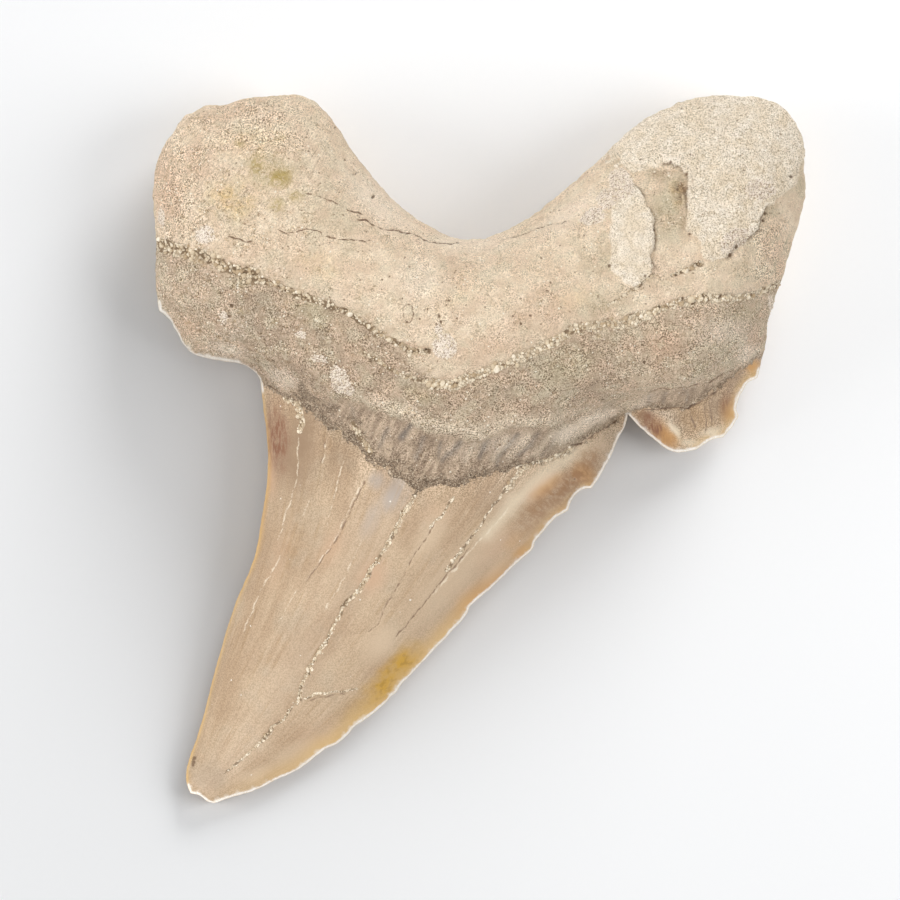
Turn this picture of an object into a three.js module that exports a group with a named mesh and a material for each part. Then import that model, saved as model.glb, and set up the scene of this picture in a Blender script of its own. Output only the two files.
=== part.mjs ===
// Fossil shark tooth with a leaning crown, a two-lobed root and one side cusplet.
// Millimetres. It lies on its flat labial face: +Z is up, out of the domed lingual face,
// +Y points towards the root lobes, -Y towards the tip of the crown, +X towards the cusplet.
// The origin is the centre of the footprint, on the surface that the tooth lies on.
// The tooth grew as one piece, so it is one closed mesh: an upper and a lower skin over the
// same outline, which meet along its rim.
import * as THREE from 'three';

// ---- Driving dimensions ------------------------------------------------------------------
const CREST = { x: 1, y: 9.5, z: 14.6, bow: 0.013 }; // highest point of the root, and how its crest bends
const CREST_FALL = { along: 0.0066, toLobes: 0.013, toCrown: 0.032 }; // how fast it falls, per mm squared
const TIP = new THREE.Vector2(-25.4, -30.6);
const NECK = new THREE.Vector2(-4.5, -1); // middle of the crown's base
const CROWN_RISE = { atTip: 0.4, atNeck: 8.6, power: 0.85 }; // crown's ridge above its cutting edges
const RIM = { tip: 1.3, neck: 2.2, root: 4.5 }; // height of the outline above the surface
const ROOT_ROUNDING = { upper: 6, lower: 5 }; // how far in from the rim the root's edge is rounded
const CUSPLET_RISE = 3.6;
const CUSPLET_ROUNDING = 1.6;
const SHOULDER_EDGE = 0.5; // how soon the crown's right shoulder thins out to its edge
const ENAMEL_STEP = 0.25; // the root stands this much proud where the enamel begins
const ROOT_HOLLOW = 1.3; // gap under the middle of the root
const LOBES = [new THREE.Vector2(-21.5, 21), new THREE.Vector2(21, 21)]; // where the two lobes touch down
const LOBE_REACH = new THREE.Vector2(11, 13);
const LOBE_PRESS = 0.12; // how much of each lobe's lowest bulge is worn flat
const LABIAL_PRESS = 0.12; // the same on the crown's labial face
const RINGS = [0.35, 1.05]; // rows of vertices parallel to the rim
const RIM_STEP = 1.05;
const CELL = 1.2;

// ---- The outline, one spline for each stretch between two corners ------------------------
const STRETCHES = {
  root: [
    [-28.9, 12.6], [-29.2, 15.5], [-29.1, 18.5], [-29.4, 22.5], [-29.1, 25.8], [-28, 28.1],
    [-26.6, 30], [-25.6, 30.5], [-24.6, 31.1], [-23.2, 31.1], [-21, 31.7], [-18, 32],
    [-16, 31.9], [-14.2, 30.9], [-12.4, 28.5], [-10.8, 26.1], [-8, 22.8], [-5.5, 20.8],
    [-3, 19.4], [-1.2, 19], [1, 19.3], [4, 20.7], [7, 22.9], [10.5, 25.9], [14, 29.1],
    [17, 30.8], [20, 31.75], [23, 31.9], [25.8, 31.5], [27.9, 30], [29, 27.9], [29.2, 25.5],
    [29.35, 23.5], [28.9, 21], [28, 18], [27.1, 15], [26.1, 12], [25.9, 10.2], [25.5, 8.2],
    [25.1, 6.6],
  ],
  cuspletOuter: [[25.1, 6.6], [24.1, 6], [23.5, 4.9], [23.2, 3.8], [23.3, 3], [22.6, 1.9], [22, 1.2]],
  cuspletTip: [[22, 1.2], [21, 1], [20.3, 0.6], [19.6, 0.1]],
  cuspletInner: [[19.6, 0.1], [18, -0.2], [17, 0.1], [15.5, 1.2], [14.2, 2.4], [13.4, 3.3]],
  shoulder: [[13.4, 3.3], [13.2, 2.3], [12.5, 0.9], [11.6, -1], [10.7, -2.6], [10.1, -3.4]],
  largeChip: [[10.1, -3.4], [9.3, -3.5], [8.6, -4.1], [8.2, -4.8], [8, -5.4]],
  smallChip: [[8, -5.4], [7, -6], [6.2, -6.8], [5.1, -8.1], [4.9, -8.7], [4.6, -9.1]],
  distalEdge: [
    [4.6, -9.1], [3, -10.5], [1.2, -12.3], [-0.7, -13.9], [-1.2, -14.9], [-3, -16.9],
    [-5, -19], [-7, -21.1], [-7.6, -21.9], [-9.5, -23.7], [-11.2, -24.9], [-12, -25.8],
    [-13.2, -26.7], [-14.1, -27.1], [-16, -28.6], [-18, -29.6], [-20.5, -30.8], [-22.5, -31.4],
    [-24, -31.9],
  ],
  tip: [[-24, -31.9], [-24.6, -31.7], [-25.3, -31.2], [-26.1, -31]],
  mesialEdge: [
    [-26.1, -31], [-26.45, -30.2], [-26.5, -29], [-26.3, -28], [-25.5, -25.8], [-24.9, -23.8],
    [-24.3, -21.4], [-23.5, -18.4], [-22.4, -14.8], [-21.7, -13], [-20.7, -10.7],
    [-20.1, -8.8], [-19.6, -5.6], [-19.2, -3], [-19.1, -0.5], [-19.3, 2], [-19.6, 4.4],
    [-19.75, 6.1],
  ],
  mesialShoulder: [
    [-19.75, 6.1], [-20.2, 7], [-21.3, 7.7], [-22.6, 8], [-24.4, 8.3], [-25.8, 8.7],
    [-26.6, 9.4], [-27.4, 10.8], [-28, 11.9], [-28.9, 12.6],
  ],
};

// Lines on the faces: where the enamel ends, and the sound edges of the crown.
const LINGUAL_NECK = [
  [-31, 3.5], [-23, 6], [-20, 6.1], [-18, 5], [-15.5, 3.2], [-12.2, 1.4], [-9.4, -1], [-7.6, -2.6],
  [-5.8, -4.1], [-4.4, -3.1], [-1.4, -2.8], [1.5, -2], [5.5, -1], [8.5, 0.2], [10.5, 1.7],
  [13.3, 3.4], [16, 3.9], [18.8, 4.1], [20.8, 5.2], [22.3, 6.4], [24.3, 7.9], [27, 9.6],
];
const LABIAL_NECK = [
  [-32, 14.5], [-24, 10.8], [-16, 8.2], [-8, 6.6], [-2, 6.2], [4, 6.8], [12, 8.6], [20, 10.6],
  [29, 13],
];
const MESIAL_GUIDE = [
  [-26.5, -30.5], [-24.3, -21.4], [-21.3, -12], [-19.5, -5], [-19.3, 2], [-20.3, 9], [-23, 18],
];
const DISTAL_GUIDE = [
  [-23.5, -31.9], [-16, -28.6], [-7.2, -21.3], [1.6, -11.9], [8.4, -5], [13.4, 3.3], [18, 11],
  [23, 18],
];

const clamp01 = (v) => Math.min(1, Math.max(0, v));
const smooth = (low, high, v) => {
  const t = clamp01((v - low) / (high - low));
  return t * t * (3 - 2 * t);
};
const mix = (a, b, t) => a + (b - a) * t;

const splineThrough = (points) =>
  new THREE.SplineCurve(points.map(([x, y]) => new THREE.Vector2(x, y)));

// The rim as one closed polygon, anticlockwise seen from above.
function rimPoints() {
  const rim = [];
  for (const points of Object.values(STRETCHES)) {
    const curve = splineThrough(points);
    const steps = Math.max(3, Math.round(curve.getLength() / RIM_STEP));
    rim.push(...curve.getSpacedPoints(steps).slice(0, -1));
  }
  return THREE.ShapeUtils.isClockWise(rim) ? rim.reverse() : rim;
}

// ---- Distances ---------------------------------------------------------------------------
// An inside distance with no creases: near the rim it is the true distance, and across a wide
// part it levels off. Each straight piece of the rim adds the integral of 1 / distance cubed.
function inwardDistance(rim, p) {
  let sum = 0;
  rim.forEach((a, i) => {
    const b = rim[(i + 1) % rim.length];
    const length = a.distanceTo(b);
    const along = b.clone().sub(a).divideScalar(length);
    const start = p.clone().sub(a).dot(along);
    const height2 = Math.max(p.distanceToSquared(a) - start * start, 1e-6);
    const end = start - length;
    sum += (start / Math.sqrt(start * start + height2) - end / Math.sqrt(end * end + height2)) / height2;
  });
  return Math.sqrt(2 / sum);
}

// Signed distance to an open line: positive on its left.
function sideDistance(line, p) {
  let best = Infinity;
  let side = 1;
  for (let i = 1; i < line.length; i += 1) {
    const a = line[i - 1];
    const along = line[i].clone().sub(a);
    const t = clamp01(p.clone().sub(a).dot(along) / along.lengthSq());
    const off = p.clone().sub(a).addScaledVector(along, -t);
    if (off.lengthSq() < best - 1e-9) {
      best = off.lengthSq();
      side = Math.sign(along.cross(p.clone().sub(a))) || 1;
    }
  }
  return side * Math.sqrt(best);
}

const LINE_STEPS = 40;
const line = (points) => splineThrough(points).getSpacedPoints(LINE_STEPS);
const lingualNeck = line(LINGUAL_NECK);
const labialNeck = line(LABIAL_NECK);
const mesialGuide = line(MESIAL_GUIDE);
const distalGuide = line(DISTAL_GUIDE);

// ---- The two skins -----------------------------------------------------------------------
function rimHeight(p) {
  return RIM.tip + (RIM.neck - RIM.tip) * smooth(-30, 0, p.y) + (RIM.root - RIM.neck) * smooth(8, 20, p.y);
}

// 0 on the crown's cutting edges and 1 midway between them.
function crownFullness(p, inward) {
  const left = Math.max(-sideDistance(mesialGuide, p), inward);
  const right = Math.max(sideDistance(distalGuide, p), inward);
  return (4 * left * right) / Math.max((left + right) ** 2, 1e-6);
}

function roundedEdge(inward, radius) {
  const t = 1 - Math.min(inward / radius, 1);
  return Math.sqrt(1 - t * t);
}

function bladeTop(p, inward) {
  const axis = NECK.clone().sub(TIP);
  const along = clamp01(p.clone().sub(TIP).dot(axis) / axis.lengthSq());
  const rise = mix(CROWN_RISE.atTip, CROWN_RISE.atNeck, along ** CROWN_RISE.power);
  const thinned = mix(1, 1 - Math.exp(-inward / SHOULDER_EDGE), smooth(1, 5, p.x));
  const crown = rise * crownFullness(p, inward) ** 0.65 * thinned;
  const cusplet = CUSPLET_RISE * (1 - Math.exp(-inward / CUSPLET_ROUNDING));
  return rimHeight(p) + mix(crown, cusplet, smooth(11.5, 14.5, p.x));
}

function rootTop(p, inward) {
  const across = p.x - CREST.x;
  const past = p.y - (CREST.y + CREST.bow * across * across);
  const fall = past > 0 ? CREST_FALL.toLobes : CREST_FALL.toCrown;
  const core = CREST.z - CREST_FALL.along * across * across - fall * past * past;
  const rim = rimHeight(p);
  return rim + (core - rim) * roundedEdge(inward, ROOT_ROUNDING.upper);
}

// The lingual face: the blade, and above its neck the root, joined by a hollow band.
function topHeight(p, inward) {
  const aboveNeck = sideDistance(lingualNeck, p);
  const blade = bladeTop(p, inward);
  if (aboveNeck < 0) return blade;
  const band = mix(2.6, 4.8, smooth(-20, -10, p.x)) - 2.4 * smooth(8, 15, p.x);
  const step = ENAMEL_STEP * smooth(0, 0.5, aboveNeck) * clamp01(inward / 0.5);
  return mix(blade + step, rootTop(p, inward), smooth(0, band, aboveNeck));
}

// The labial face: a flat crown, a hollow under the root, and two lobes that touch down.
function bottomHeight(p, inward) {
  const rim = rimHeight(p);
  const crown = rim - (rim + LABIAL_PRESS) * crownFullness(p, inward) ** 0.45;
  const flank = rim - (rim - 0.5) * (1 - Math.exp(-inward / 1.5));
  const insideCrown = sideDistance(mesialGuide, p) < 0 && sideDistance(distalGuide, p) > 0;
  const blade = insideCrown ? Math.min(crown, flank) : flank;
  const toLobe = LOBES.map((lobe) => p.clone().sub(lobe).divide(LOBE_REACH).length());
  const sole = mix(-LOBE_PRESS, ROOT_HOLLOW, smooth(0.1, 1, Math.min(...toLobe)));
  const root = rim - (rim - sole) * roundedEdge(inward, ROOT_ROUNDING.lower);
  return Math.max(0, mix(blade, root, smooth(-0.4, 1.2, sideDistance(labialNeck, p))));
}

// ---- The mesh ----------------------------------------------------------------------------
// A ring of points that all lie the same distance in, one for each point of the ring outside it.
function ringInside(rim, ring, depth) {
  return ring.map((p, i) => {
    const before = ring.at(i - 1);
    const after = ring[(i + 1) % ring.length];
    const inwards = new THREE.Vector2(before.y - after.y, after.x - before.x).normalize();
    const q = p.clone().addScaledVector(inwards, 0.1);
    for (let step = 0; step < 25; step += 1) {
      const here = inwardDistance(rim, q);
      const ahead = q.clone().addScaledVector(inwards, 0.02);
      const aside = new THREE.Vector2(q.x - inwards.y * 0.02, q.y + inwards.x * 0.02);
      const slope = (inwardDistance(rim, ahead) - here) / 0.02;
      const lean = (inwardDistance(rim, aside) - here) / 0.02;
      const move = THREE.MathUtils.clamp((depth - here) / Math.hypot(slope, lean, 0.3), -0.08, 0.08);
      q.add(new THREE.Vector2(inwards.x * slope - inwards.y * lean, inwards.y * slope + inwards.x * lean)
        .normalize().multiplyScalar(move));
    }
    return q;
  });
}

// The grid's rows and columns wave a little, so that no three corners of its edge are in line.
function gridPoint(i, j) {
  return new THREE.Vector2(i * CELL + 0.07 * Math.sin(2.3 * j), j * CELL + 0.07 * Math.sin(1.9 * i + 0.4));
}

// The grid's cells that lie wholly further in than `reach`, as "column,row" keys.
function innerCells(rim, reach) {
  const inside = new Set();
  const deep = (i, j) => {
    const p = gridPoint(i, j);
    return pointInside(rim, p) && inwardDistance(rim, p) > reach;
  };
  const n = Math.ceil(34 / CELL);
  for (let i = -n; i < n; i += 1)
    for (let j = -n; j < n; j += 1)
      if (deep(i, j) && deep(i + 1, j) && deep(i, j + 1) && deep(i + 1, j + 1)) inside.add(`${i},${j}`);
  return inside;
}

function pointInside(polygon, p) {
  let inside = false;
  polygon.forEach((a, i) => {
    const b = polygon[(i + 1) % polygon.length];
    const crosses = a.y > p.y !== b.y > p.y;
    if (crosses && p.x < ((b.x - a.x) * (p.y - a.y)) / (b.y - a.y) + a.x) inside = !inside;
  });
  return inside;
}

// The closed loops around the cells, each a list of "column,row" corner keys.
function loopsAround(cells) {
  const next = new Map();
  for (const cell of cells) {
    const [i, j] = cell.split(',').map(Number);
    if (!cells.has(`${i},${j - 1}`)) next.set(`${i},${j}`, `${i + 1},${j}`);
    if (!cells.has(`${i + 1},${j}`)) next.set(`${i + 1},${j}`, `${i + 1},${j + 1}`);
    if (!cells.has(`${i},${j + 1}`)) next.set(`${i + 1},${j + 1}`, `${i},${j + 1}`);
    if (!cells.has(`${i - 1},${j}`)) next.set(`${i},${j + 1}`, `${i},${j}`);
  }
  const loops = [];
  while (next.size) {
    const start = next.keys().next().value;
    const loop = [];
    for (let at = start; next.has(at); ) {
      const to = next.get(at);
      next.delete(at);
      loop.push(at);
      at = to;
    }
    loops.push(loop);
  }
  return loops;
}

// Seen from above: the plan's points, with the rim's first, and its triangles.
function planOf(rim) {
  const rings = [rim];
  for (const depth of RINGS) rings.push(ringInside(rim, rings.at(-1), depth));
  const points = rings.flat();
  const faces = [];
  const count = rim.length;
  for (let ring = 0; ring < RINGS.length; ring += 1)
    for (let i = 0; i < count; i += 1) {
      const a = ring * count + i;
      const b = ring * count + ((i + 1) % count);
      faces.push([a, b, b + count], [a, b + count, a + count]);
    }
  const cells = innerCells(rim, RINGS.at(-1) + CELL / 2);
  const corner = new Map();
  const cornerIndex = (at) => {
    if (!corner.has(at)) {
      const [i, j] = at.split(',').map(Number);
      corner.set(at, points.length);
      points.push(gridPoint(i, j));
    }
    return corner.get(at);
  };
  const loops = loopsAround(cells).map((loop) => loop.map(cornerIndex));
  const outer = rings.at(-1).map((_, i) => RINGS.length * count + i);
  const order = [...outer, ...loops.flat()];
  const strip = THREE.ShapeUtils.triangulateShape(
    outer.map((i) => points[i]),
    loops.map((loop) => loop.map((i) => points[i])),
  );
  faces.push(...strip.map((face) => face.map((i) => order[i])));
  for (const cell of cells) {
    const [i, j] = cell.split(',').map(Number);
    const [a, b, c, d] = [`${i},${j}`, `${i + 1},${j}`, `${i + 1},${j + 1}`, `${i},${j + 1}`].map(cornerIndex);
    faces.push(...((i + j) % 2 ? [[a, b, c], [a, c, d]] : [[a, b, d], [b, c, d]]));
  }
  return { points, faces, rimCount: count };
}

function toothGeometry() {
  const rim = rimPoints();
  const { points, faces, rimCount } = planOf(rim);
  const inward = points.map((p, i) => (i < rimCount ? 0 : inwardDistance(rim, p)));
  const upper = points.map((p, i) => (i < rimCount ? rimHeight(p) : topHeight(p, inward[i])));
  const lower = points.map((p, i) => (i < rimCount ? rimHeight(p) : bottomHeight(p, inward[i])));
  const position = [];
  points.forEach((p, i) => position.push(p.x, p.y, upper[i]));
  points.slice(rimCount).forEach((p, i) => position.push(p.x, p.y, lower[i + rimCount]));
  const below = (i) => (i < rimCount ? i : i + points.length - rimCount);
  const index = [];
  for (const [a, b, c] of faces) {
    const turn = points[b].clone().sub(points[a]).cross(points[c].clone().sub(points[a]));
    const [u, v, w] = turn > 0 ? [a, b, c] : [a, c, b];
    index.push(u, v, w, below(u), below(w), below(v));
  }
  const geometry = new THREE.BufferGeometry();
  geometry.setAttribute('position', new THREE.Float32BufferAttribute(position, 3));
  geometry.setIndex(index);
  geometry.computeVertexNormals();
  return geometry;
}

function toothMaterial() {
  return new THREE.MeshStandardMaterial({ color: 0xc9b090, roughness: 0.75, metalness: 0 });
}

const tooth = new THREE.Mesh(toothGeometry(), toothMaterial());
tooth.name = 'fossil_tooth';

const model = new THREE.Group();
model.add(tooth);

export default model;
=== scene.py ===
"""A fossil shark tooth lying on its flat labial face, seen from straight above.

The tooth's two skins follow the same outline and height rules as the CAD solid, on a much finer
mesh, with its cracks, pits, chips, sand crust and lodged sand grains as real relief. Lengths in
this script are in millimetres in the CAD frame until a mesh is made.
"""

import math

import bmesh
import bpy
import numpy as np
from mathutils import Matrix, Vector
from mathutils.geometry import delaunay_2d_cdt
from mathutils.kdtree import KDTree


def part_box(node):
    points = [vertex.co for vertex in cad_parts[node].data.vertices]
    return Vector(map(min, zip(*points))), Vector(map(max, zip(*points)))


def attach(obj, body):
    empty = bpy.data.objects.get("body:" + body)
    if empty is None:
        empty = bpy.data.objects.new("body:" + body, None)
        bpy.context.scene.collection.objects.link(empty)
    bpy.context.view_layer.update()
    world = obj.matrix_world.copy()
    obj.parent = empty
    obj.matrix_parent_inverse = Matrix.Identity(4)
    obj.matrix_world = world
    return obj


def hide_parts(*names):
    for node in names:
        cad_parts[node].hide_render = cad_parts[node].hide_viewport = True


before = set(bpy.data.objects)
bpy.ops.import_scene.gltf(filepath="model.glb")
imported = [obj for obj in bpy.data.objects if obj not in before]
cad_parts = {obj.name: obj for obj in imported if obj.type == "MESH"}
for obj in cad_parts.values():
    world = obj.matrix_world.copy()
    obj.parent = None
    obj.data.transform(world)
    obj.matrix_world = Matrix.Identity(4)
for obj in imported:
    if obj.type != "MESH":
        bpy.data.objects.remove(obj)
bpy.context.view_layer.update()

MM = 0.001
tooth_low, tooth_high = (np.array(corner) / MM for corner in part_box("fossil_tooth"))

# ---- The outline, one spline for each stretch between two corners -------------------------
ROOT = [
    (-28.9, 12.6), (-29.2, 15.5), (-29.1, 18.5), (-29.4, 22.5), (-29.1, 25.8), (-28, 28.1), (-26.6, 30),
    (-25.6, 30.5), (-24.6, 31.1), (-23.2, 31.1), (-21, 31.7), (-18, 32), (-16, 31.9), (-14.2, 30.9),
    (-12.4, 28.5), (-10.8, 26.1), (-8, 22.8), (-5.5, 20.8), (-3, 19.4), (-1.2, 19), (1, 19.3), (4, 20.7),
    (7, 22.9), (10.5, 25.9), (14, 29.1), (17, 30.8), (20, 31.75), (23, 31.9), (25.8, 31.5), (27.9, 30),
    (29, 27.9), (29.2, 25.5), (29.35, 23.5), (28.9, 21), (28, 18), (27.1, 15), (26.1, 12), (25.9, 10.2),
    (25.5, 8.2), (25.1, 6.6),
]
CUSPLET_OUTER = [(25.1, 6.6), (24.1, 6), (23.5, 4.9), (23.2, 3.8), (23.3, 3), (22.6, 1.9), (22, 1.2)]
CUSPLET_TIP = [(22, 1.2), (21, 1), (20.3, 0.6), (19.6, 0.1)]
CUSPLET_INNER = [(19.6, 0.1), (18, -0.2), (17, 0.1), (15.5, 1.2), (14.2, 2.4), (13.4, 3.3)]
SHOULDER = [(13.4, 3.3), (13.2, 2.3), (12.5, 0.9), (11.6, -1), (10.7, -2.6), (10.1, -3.4)]
LARGE_CHIP = [(10.1, -3.4), (9.3, -3.5), (8.6, -4.1), (8.2, -4.8), (8, -5.4)]
SMALL_CHIP = [(8, -5.4), (7, -6), (6.2, -6.8), (5.1, -8.1), (4.9, -8.7), (4.6, -9.1)]
DISTAL_EDGE = [
    (4.6, -9.1), (3, -10.5), (1.2, -12.3), (-0.7, -13.9), (-1.2, -14.9), (-3, -16.9), (-5, -19),
    (-7, -21.1), (-7.6, -21.9), (-9.5, -23.7), (-11.2, -24.9), (-12, -25.8), (-13.2, -26.7), (-14.1, -27.1),
    (-16, -28.6), (-18, -29.6), (-20.5, -30.8), (-22.5, -31.4), (-24, -31.9),
]
TIP = [(-24, -31.9), (-24.6, -31.7), (-25.3, -31.2), (-26.1, -31)]
MESIAL_EDGE = [
    (-26.1, -31), (-26.45, -30.2), (-26.5, -29), (-26.3, -28), (-25.5, -25.8), (-24.9, -23.8),
    (-24.3, -21.4), (-23.5, -18.4), (-22.4, -14.8), (-21.7, -13), (-20.7, -10.7), (-20.1, -8.8),
    (-19.6, -5.6), (-19.2, -3), (-19.1, -0.5), (-19.3, 2), (-19.6, 4.4), (-19.75, 6.1),
]
MESIAL_SHOULDER = [
    (-19.75, 6.1), (-20.2, 7), (-21.3, 7.7), (-22.6, 8), (-24.4, 8.3), (-25.8, 8.7), (-26.6, 9.4),
    (-27.4, 10.8), (-28, 11.9), (-28.9, 12.6),
]
# Each stretch with how ragged its edge is, in mm.
STRETCHES = [
    (ROOT, 0.09), (CUSPLET_OUTER, 0.07), (CUSPLET_TIP, 0.05), (CUSPLET_INNER, 0.05),
    (SHOULDER, 0.06), (LARGE_CHIP, 0.06), (SMALL_CHIP, 0.06), (DISTAL_EDGE, 0.055), (TIP, 0.03),
    (MESIAL_EDGE, 0.035), (MESIAL_SHOULDER, 0.07),
]

# ---- Lines that shape the faces -----------------------------------------------------------
LINGUAL_NECK = [
    (-31, 3.5), (-23, 6), (-20, 6.1), (-18, 5), (-15.5, 3.2), (-12.2, 1.4), (-9.4, -1), (-7.6, -2.6),
    (-5.8, -4.1), (-4.4, -3.1), (-1.4, -2.8), (1.5, -2), (5.5, -1), (8.5, 0.2), (10.5, 1.7), (13.3, 3.4),
    (16, 3.9), (18.8, 4.1), (20.8, 5.2), (22.3, 6.4), (24.3, 7.9), (27, 9.6),
]
LABIAL_NECK = [
    (-32, 14.5), (-24, 10.8), (-16, 8.2), (-8, 6.6), (-2, 6.2), (4, 6.8), (12, 8.6), (20, 10.6), (29, 13),
]
MESIAL_GUIDE = [
    (-26.5, -30.5), (-24.3, -21.4), (-21.3, -12), (-19.5, -5), (-19.3, 2), (-20.3, 9), (-23, 18),
]
DISTAL_GUIDE = [
    (-23.5, -31.9), (-16, -28.6), (-7.2, -21.3), (1.6, -11.9), (8.4, -5), (13.4, 3.3), (18, 11), (23, 18),
]

# The same driving dimensions as the solid.
CREST = dict(x=1, y=9.5, z=14.6, bow=0.013)
CREST_FALL = dict(along=0.0066, to_lobes=0.013, to_crown=0.032)
TIP_POINT = np.array([-25.4, -30.6])
NECK_POINT = np.array([-4.5, -1])
CROWN_RISE = dict(at_tip=0.4, at_neck=8.6, power=0.85)
RIM = dict(tip=1.3, neck=2.2, root=4.5)
ROOT_ROUNDING = dict(upper=6, lower=5)
CUSPLET_RISE = 3.6
CUSPLET_ROUNDING = 1.6
SHOULDER_EDGE = 0.5
ENAMEL_STEP = 0.25
ROOT_HOLLOW = 1.3
FULLNESS = dict(lingual=0.65, labial=0.45)
LOBES = [np.array([-21.5, 21]), np.array([21, 21])]
LOBE_REACH = np.array([11, 13])
# How much of each bulge that it rests on is worn flat.
PRESS = 0.12


# ---- Small tools --------------------------------------------------------------------------
SPLINE_STEPS = 30
NOISE_CELLS = 512
NOISE_GAIN = 1.6
OCTAVE_SHIFT = 17.3
FAR = 1e9
OUTSIDE = 80


def smooth(low, high, v):
    t = np.clip((v - low) / (high - low), 0, 1)
    return t * t * (3 - 2 * t)


def mix(a, b, t):
    return a + (b - a) * t


def spline(points, spacing):
    """Uniform Catmull-Rom through the points, resampled at an even spacing, last point included."""
    p = np.asarray(points, float)
    q = np.vstack([p[0], p, p[-1]])
    t = np.linspace(0, 1, SPLINE_STEPS, endpoint=False)[:, None]
    pieces = [b + 0.5 * t * (c - a + t * (2 * a - 5 * b + 4 * c - d + t * (3 * b - a - 3 * c + d)))
              for a, b, c, d in zip(q, q[1:], q[2:], q[3:])]
    return resampled(np.vstack(pieces + [p[-1:]]), spacing)


def resampled(line, spacing):
    """The polyline with its points at an even spacing."""
    steps = np.linalg.norm(np.diff(line, axis=0), axis=1)
    at = np.concatenate([[0], np.cumsum(steps)])
    count = max(2, int(round(at[-1] / spacing)))
    wanted = np.linspace(0, at[-1], count + 1)
    return np.stack([np.interp(wanted, at, line[:, k]) for k in (0, 1)], 1)


class Noise:
    """Gradient noise in three dimensions, about -1 to 1, the same on each run."""

    def __init__(self, seed):
        rng = np.random.default_rng(seed)
        grad = rng.normal(size=(NOISE_CELLS, 3))
        self.grad = grad / np.linalg.norm(grad, axis=1)[:, None]
        self.perm = rng.permutation(NOISE_CELLS)

    def __call__(self, p, size):
        p = p / size
        cell = np.floor(p).astype(int)
        f = p - cell
        w = f * f * f * (f * (f * 6 - 15) + 10)
        total = np.zeros(len(p))
        for dx in (0, 1):
            for dy in (0, 1):
                for dz in (0, 1):
                    corner = 0
                    for axis, d in enumerate((dx, dy, dz)):
                        corner = self.perm[(corner + cell[:, axis] + d) % NOISE_CELLS]
                    dot = ((f - (dx, dy, dz)) * self.grad[corner]).sum(1)
                    weight = np.ones(len(p))
                    for axis, d in enumerate((dx, dy, dz)):
                        weight *= w[:, axis] if d else 1 - w[:, axis]
                    total += weight * dot
        return total * NOISE_GAIN

    def fractal(self, p, size, octaves=4, gain=0.5):
        total, amount = 0, 1
        for octave in range(octaves):
            total = total + amount * self(p + OCTAVE_SHIFT * octave, size / 2 ** octave)
            amount *= gain
        return total


noise = Noise(7)


def wobble(p, offset, coarse, fine, share):
    """A small random shift for plan points: a coarse waver and a share of a finer one."""
    place = np.column_stack([p, np.zeros(len(p))]) + offset
    return np.stack([noise(place + k, coarse) + share * noise(place + k + 40, fine) for k in (0, 80)], 1)


def line_distance(line, p, reach=None):
    """(distance, side, place along) of points from an open polyline; side is +1 on its left."""
    line = np.asarray(line, float)
    best = np.full(len(p), FAR)
    side = np.ones(len(p))
    along = np.zeros(len(p))
    picked = np.arange(len(p))
    if reach is not None:
        low, high = line.min(0) - reach, line.max(0) + reach
        picked = np.flatnonzero(((p > low) & (p < high)).all(1))
    q = p[picked]
    start = 0.0
    for a, b in zip(line, line[1:]):
        d = b - a
        length = math.hypot(*d)
        rel = q - a
        t = np.clip((rel @ d) / (length * length), 0, 1)
        off = rel - t[:, None] * d
        dist = np.hypot(off[:, 0], off[:, 1])
        closer = dist < best[picked] - 1e-9
        at = picked[closer]
        best[at] = dist[closer]
        cross = d[0] * rel[:, 1] - d[1] * rel[:, 0]
        side[at] = np.where(cross[closer] >= 0, 1, -1)
        along[at] = start + t[closer] * length
        start += length
    return best, side, along


def inside(polygon, p):
    """Which points lie in a polygon, by the borders crossed on the way out to the right."""
    hit = np.zeros(len(p), bool)
    for a, b in zip(polygon, np.roll(polygon, -1, 0)):
        if a[1] == b[1]:
            continue
        crosses = (a[1] > p[:, 1]) != (b[1] > p[:, 1])
        x = (b[0] - a[0]) * (p[:, 1] - a[1]) / (b[1] - a[1]) + a[0]
        hit ^= crosses & (p[:, 0] < x)
    return hit


def inside_depth(polygon, p, border=None):
    """Distance to a closed polygon, or to a given part of its border, positive inside it."""
    if border is None:
        border = np.vstack([polygon, polygon[:1]])
    dist = line_distance(border, p)[0]
    return np.where(inside(np.asarray(polygon, float), p), dist, -dist)


def above(line, p):
    """Distance to a line that runs from left to right across the tooth, positive above it."""
    corners = [(OUTSIDE, line[-1][1]), (OUTSIDE, OUTSIDE), (-OUTSIDE, OUTSIDE), (-OUTSIDE, line[0][1])]
    region = np.vstack([line, corners])
    return inside_depth(region, p, line)


def blob(p, x, y, rx, ry, turn=0.0):
    """1 in the middle of an ellipse, 0 on its edge and below 0 outside."""
    c, s = math.cos(math.radians(turn)), math.sin(math.radians(turn))
    dx, dy = p[:, 0] - x, p[:, 1] - y
    return 1 - np.hypot((c * dx + s * dy) / rx, (c * dy - s * dx) / ry)


# ---- Outline and distances ----------------------------------------------------------------
COARSE_SPACING = 0.5
FINE_SPACING = 0.2


def tooth_rim(spacing, ragged):
    """The closed outline, anticlockwise; its edges can be given their small roughness."""
    parts = []
    for points, amount in STRETCHES:
        line = spline(points, spacing)[:-1]
        if ragged:
            to_end = np.minimum(np.arange(len(line)), np.arange(len(line))[::-1]) * spacing
            line = line + wobble(line, 40, 0.9, 0.35, 0.6) * amount * smooth(0, 0.5, to_end)[:, None]
        parts.append(line)
    rim = np.vstack(parts)
    area = np.sum(rim[:, 0] * np.roll(rim[:, 1], -1) - np.roll(rim[:, 0], -1) * rim[:, 1])
    return rim if area > 0 else rim[::-1].copy()


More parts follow.
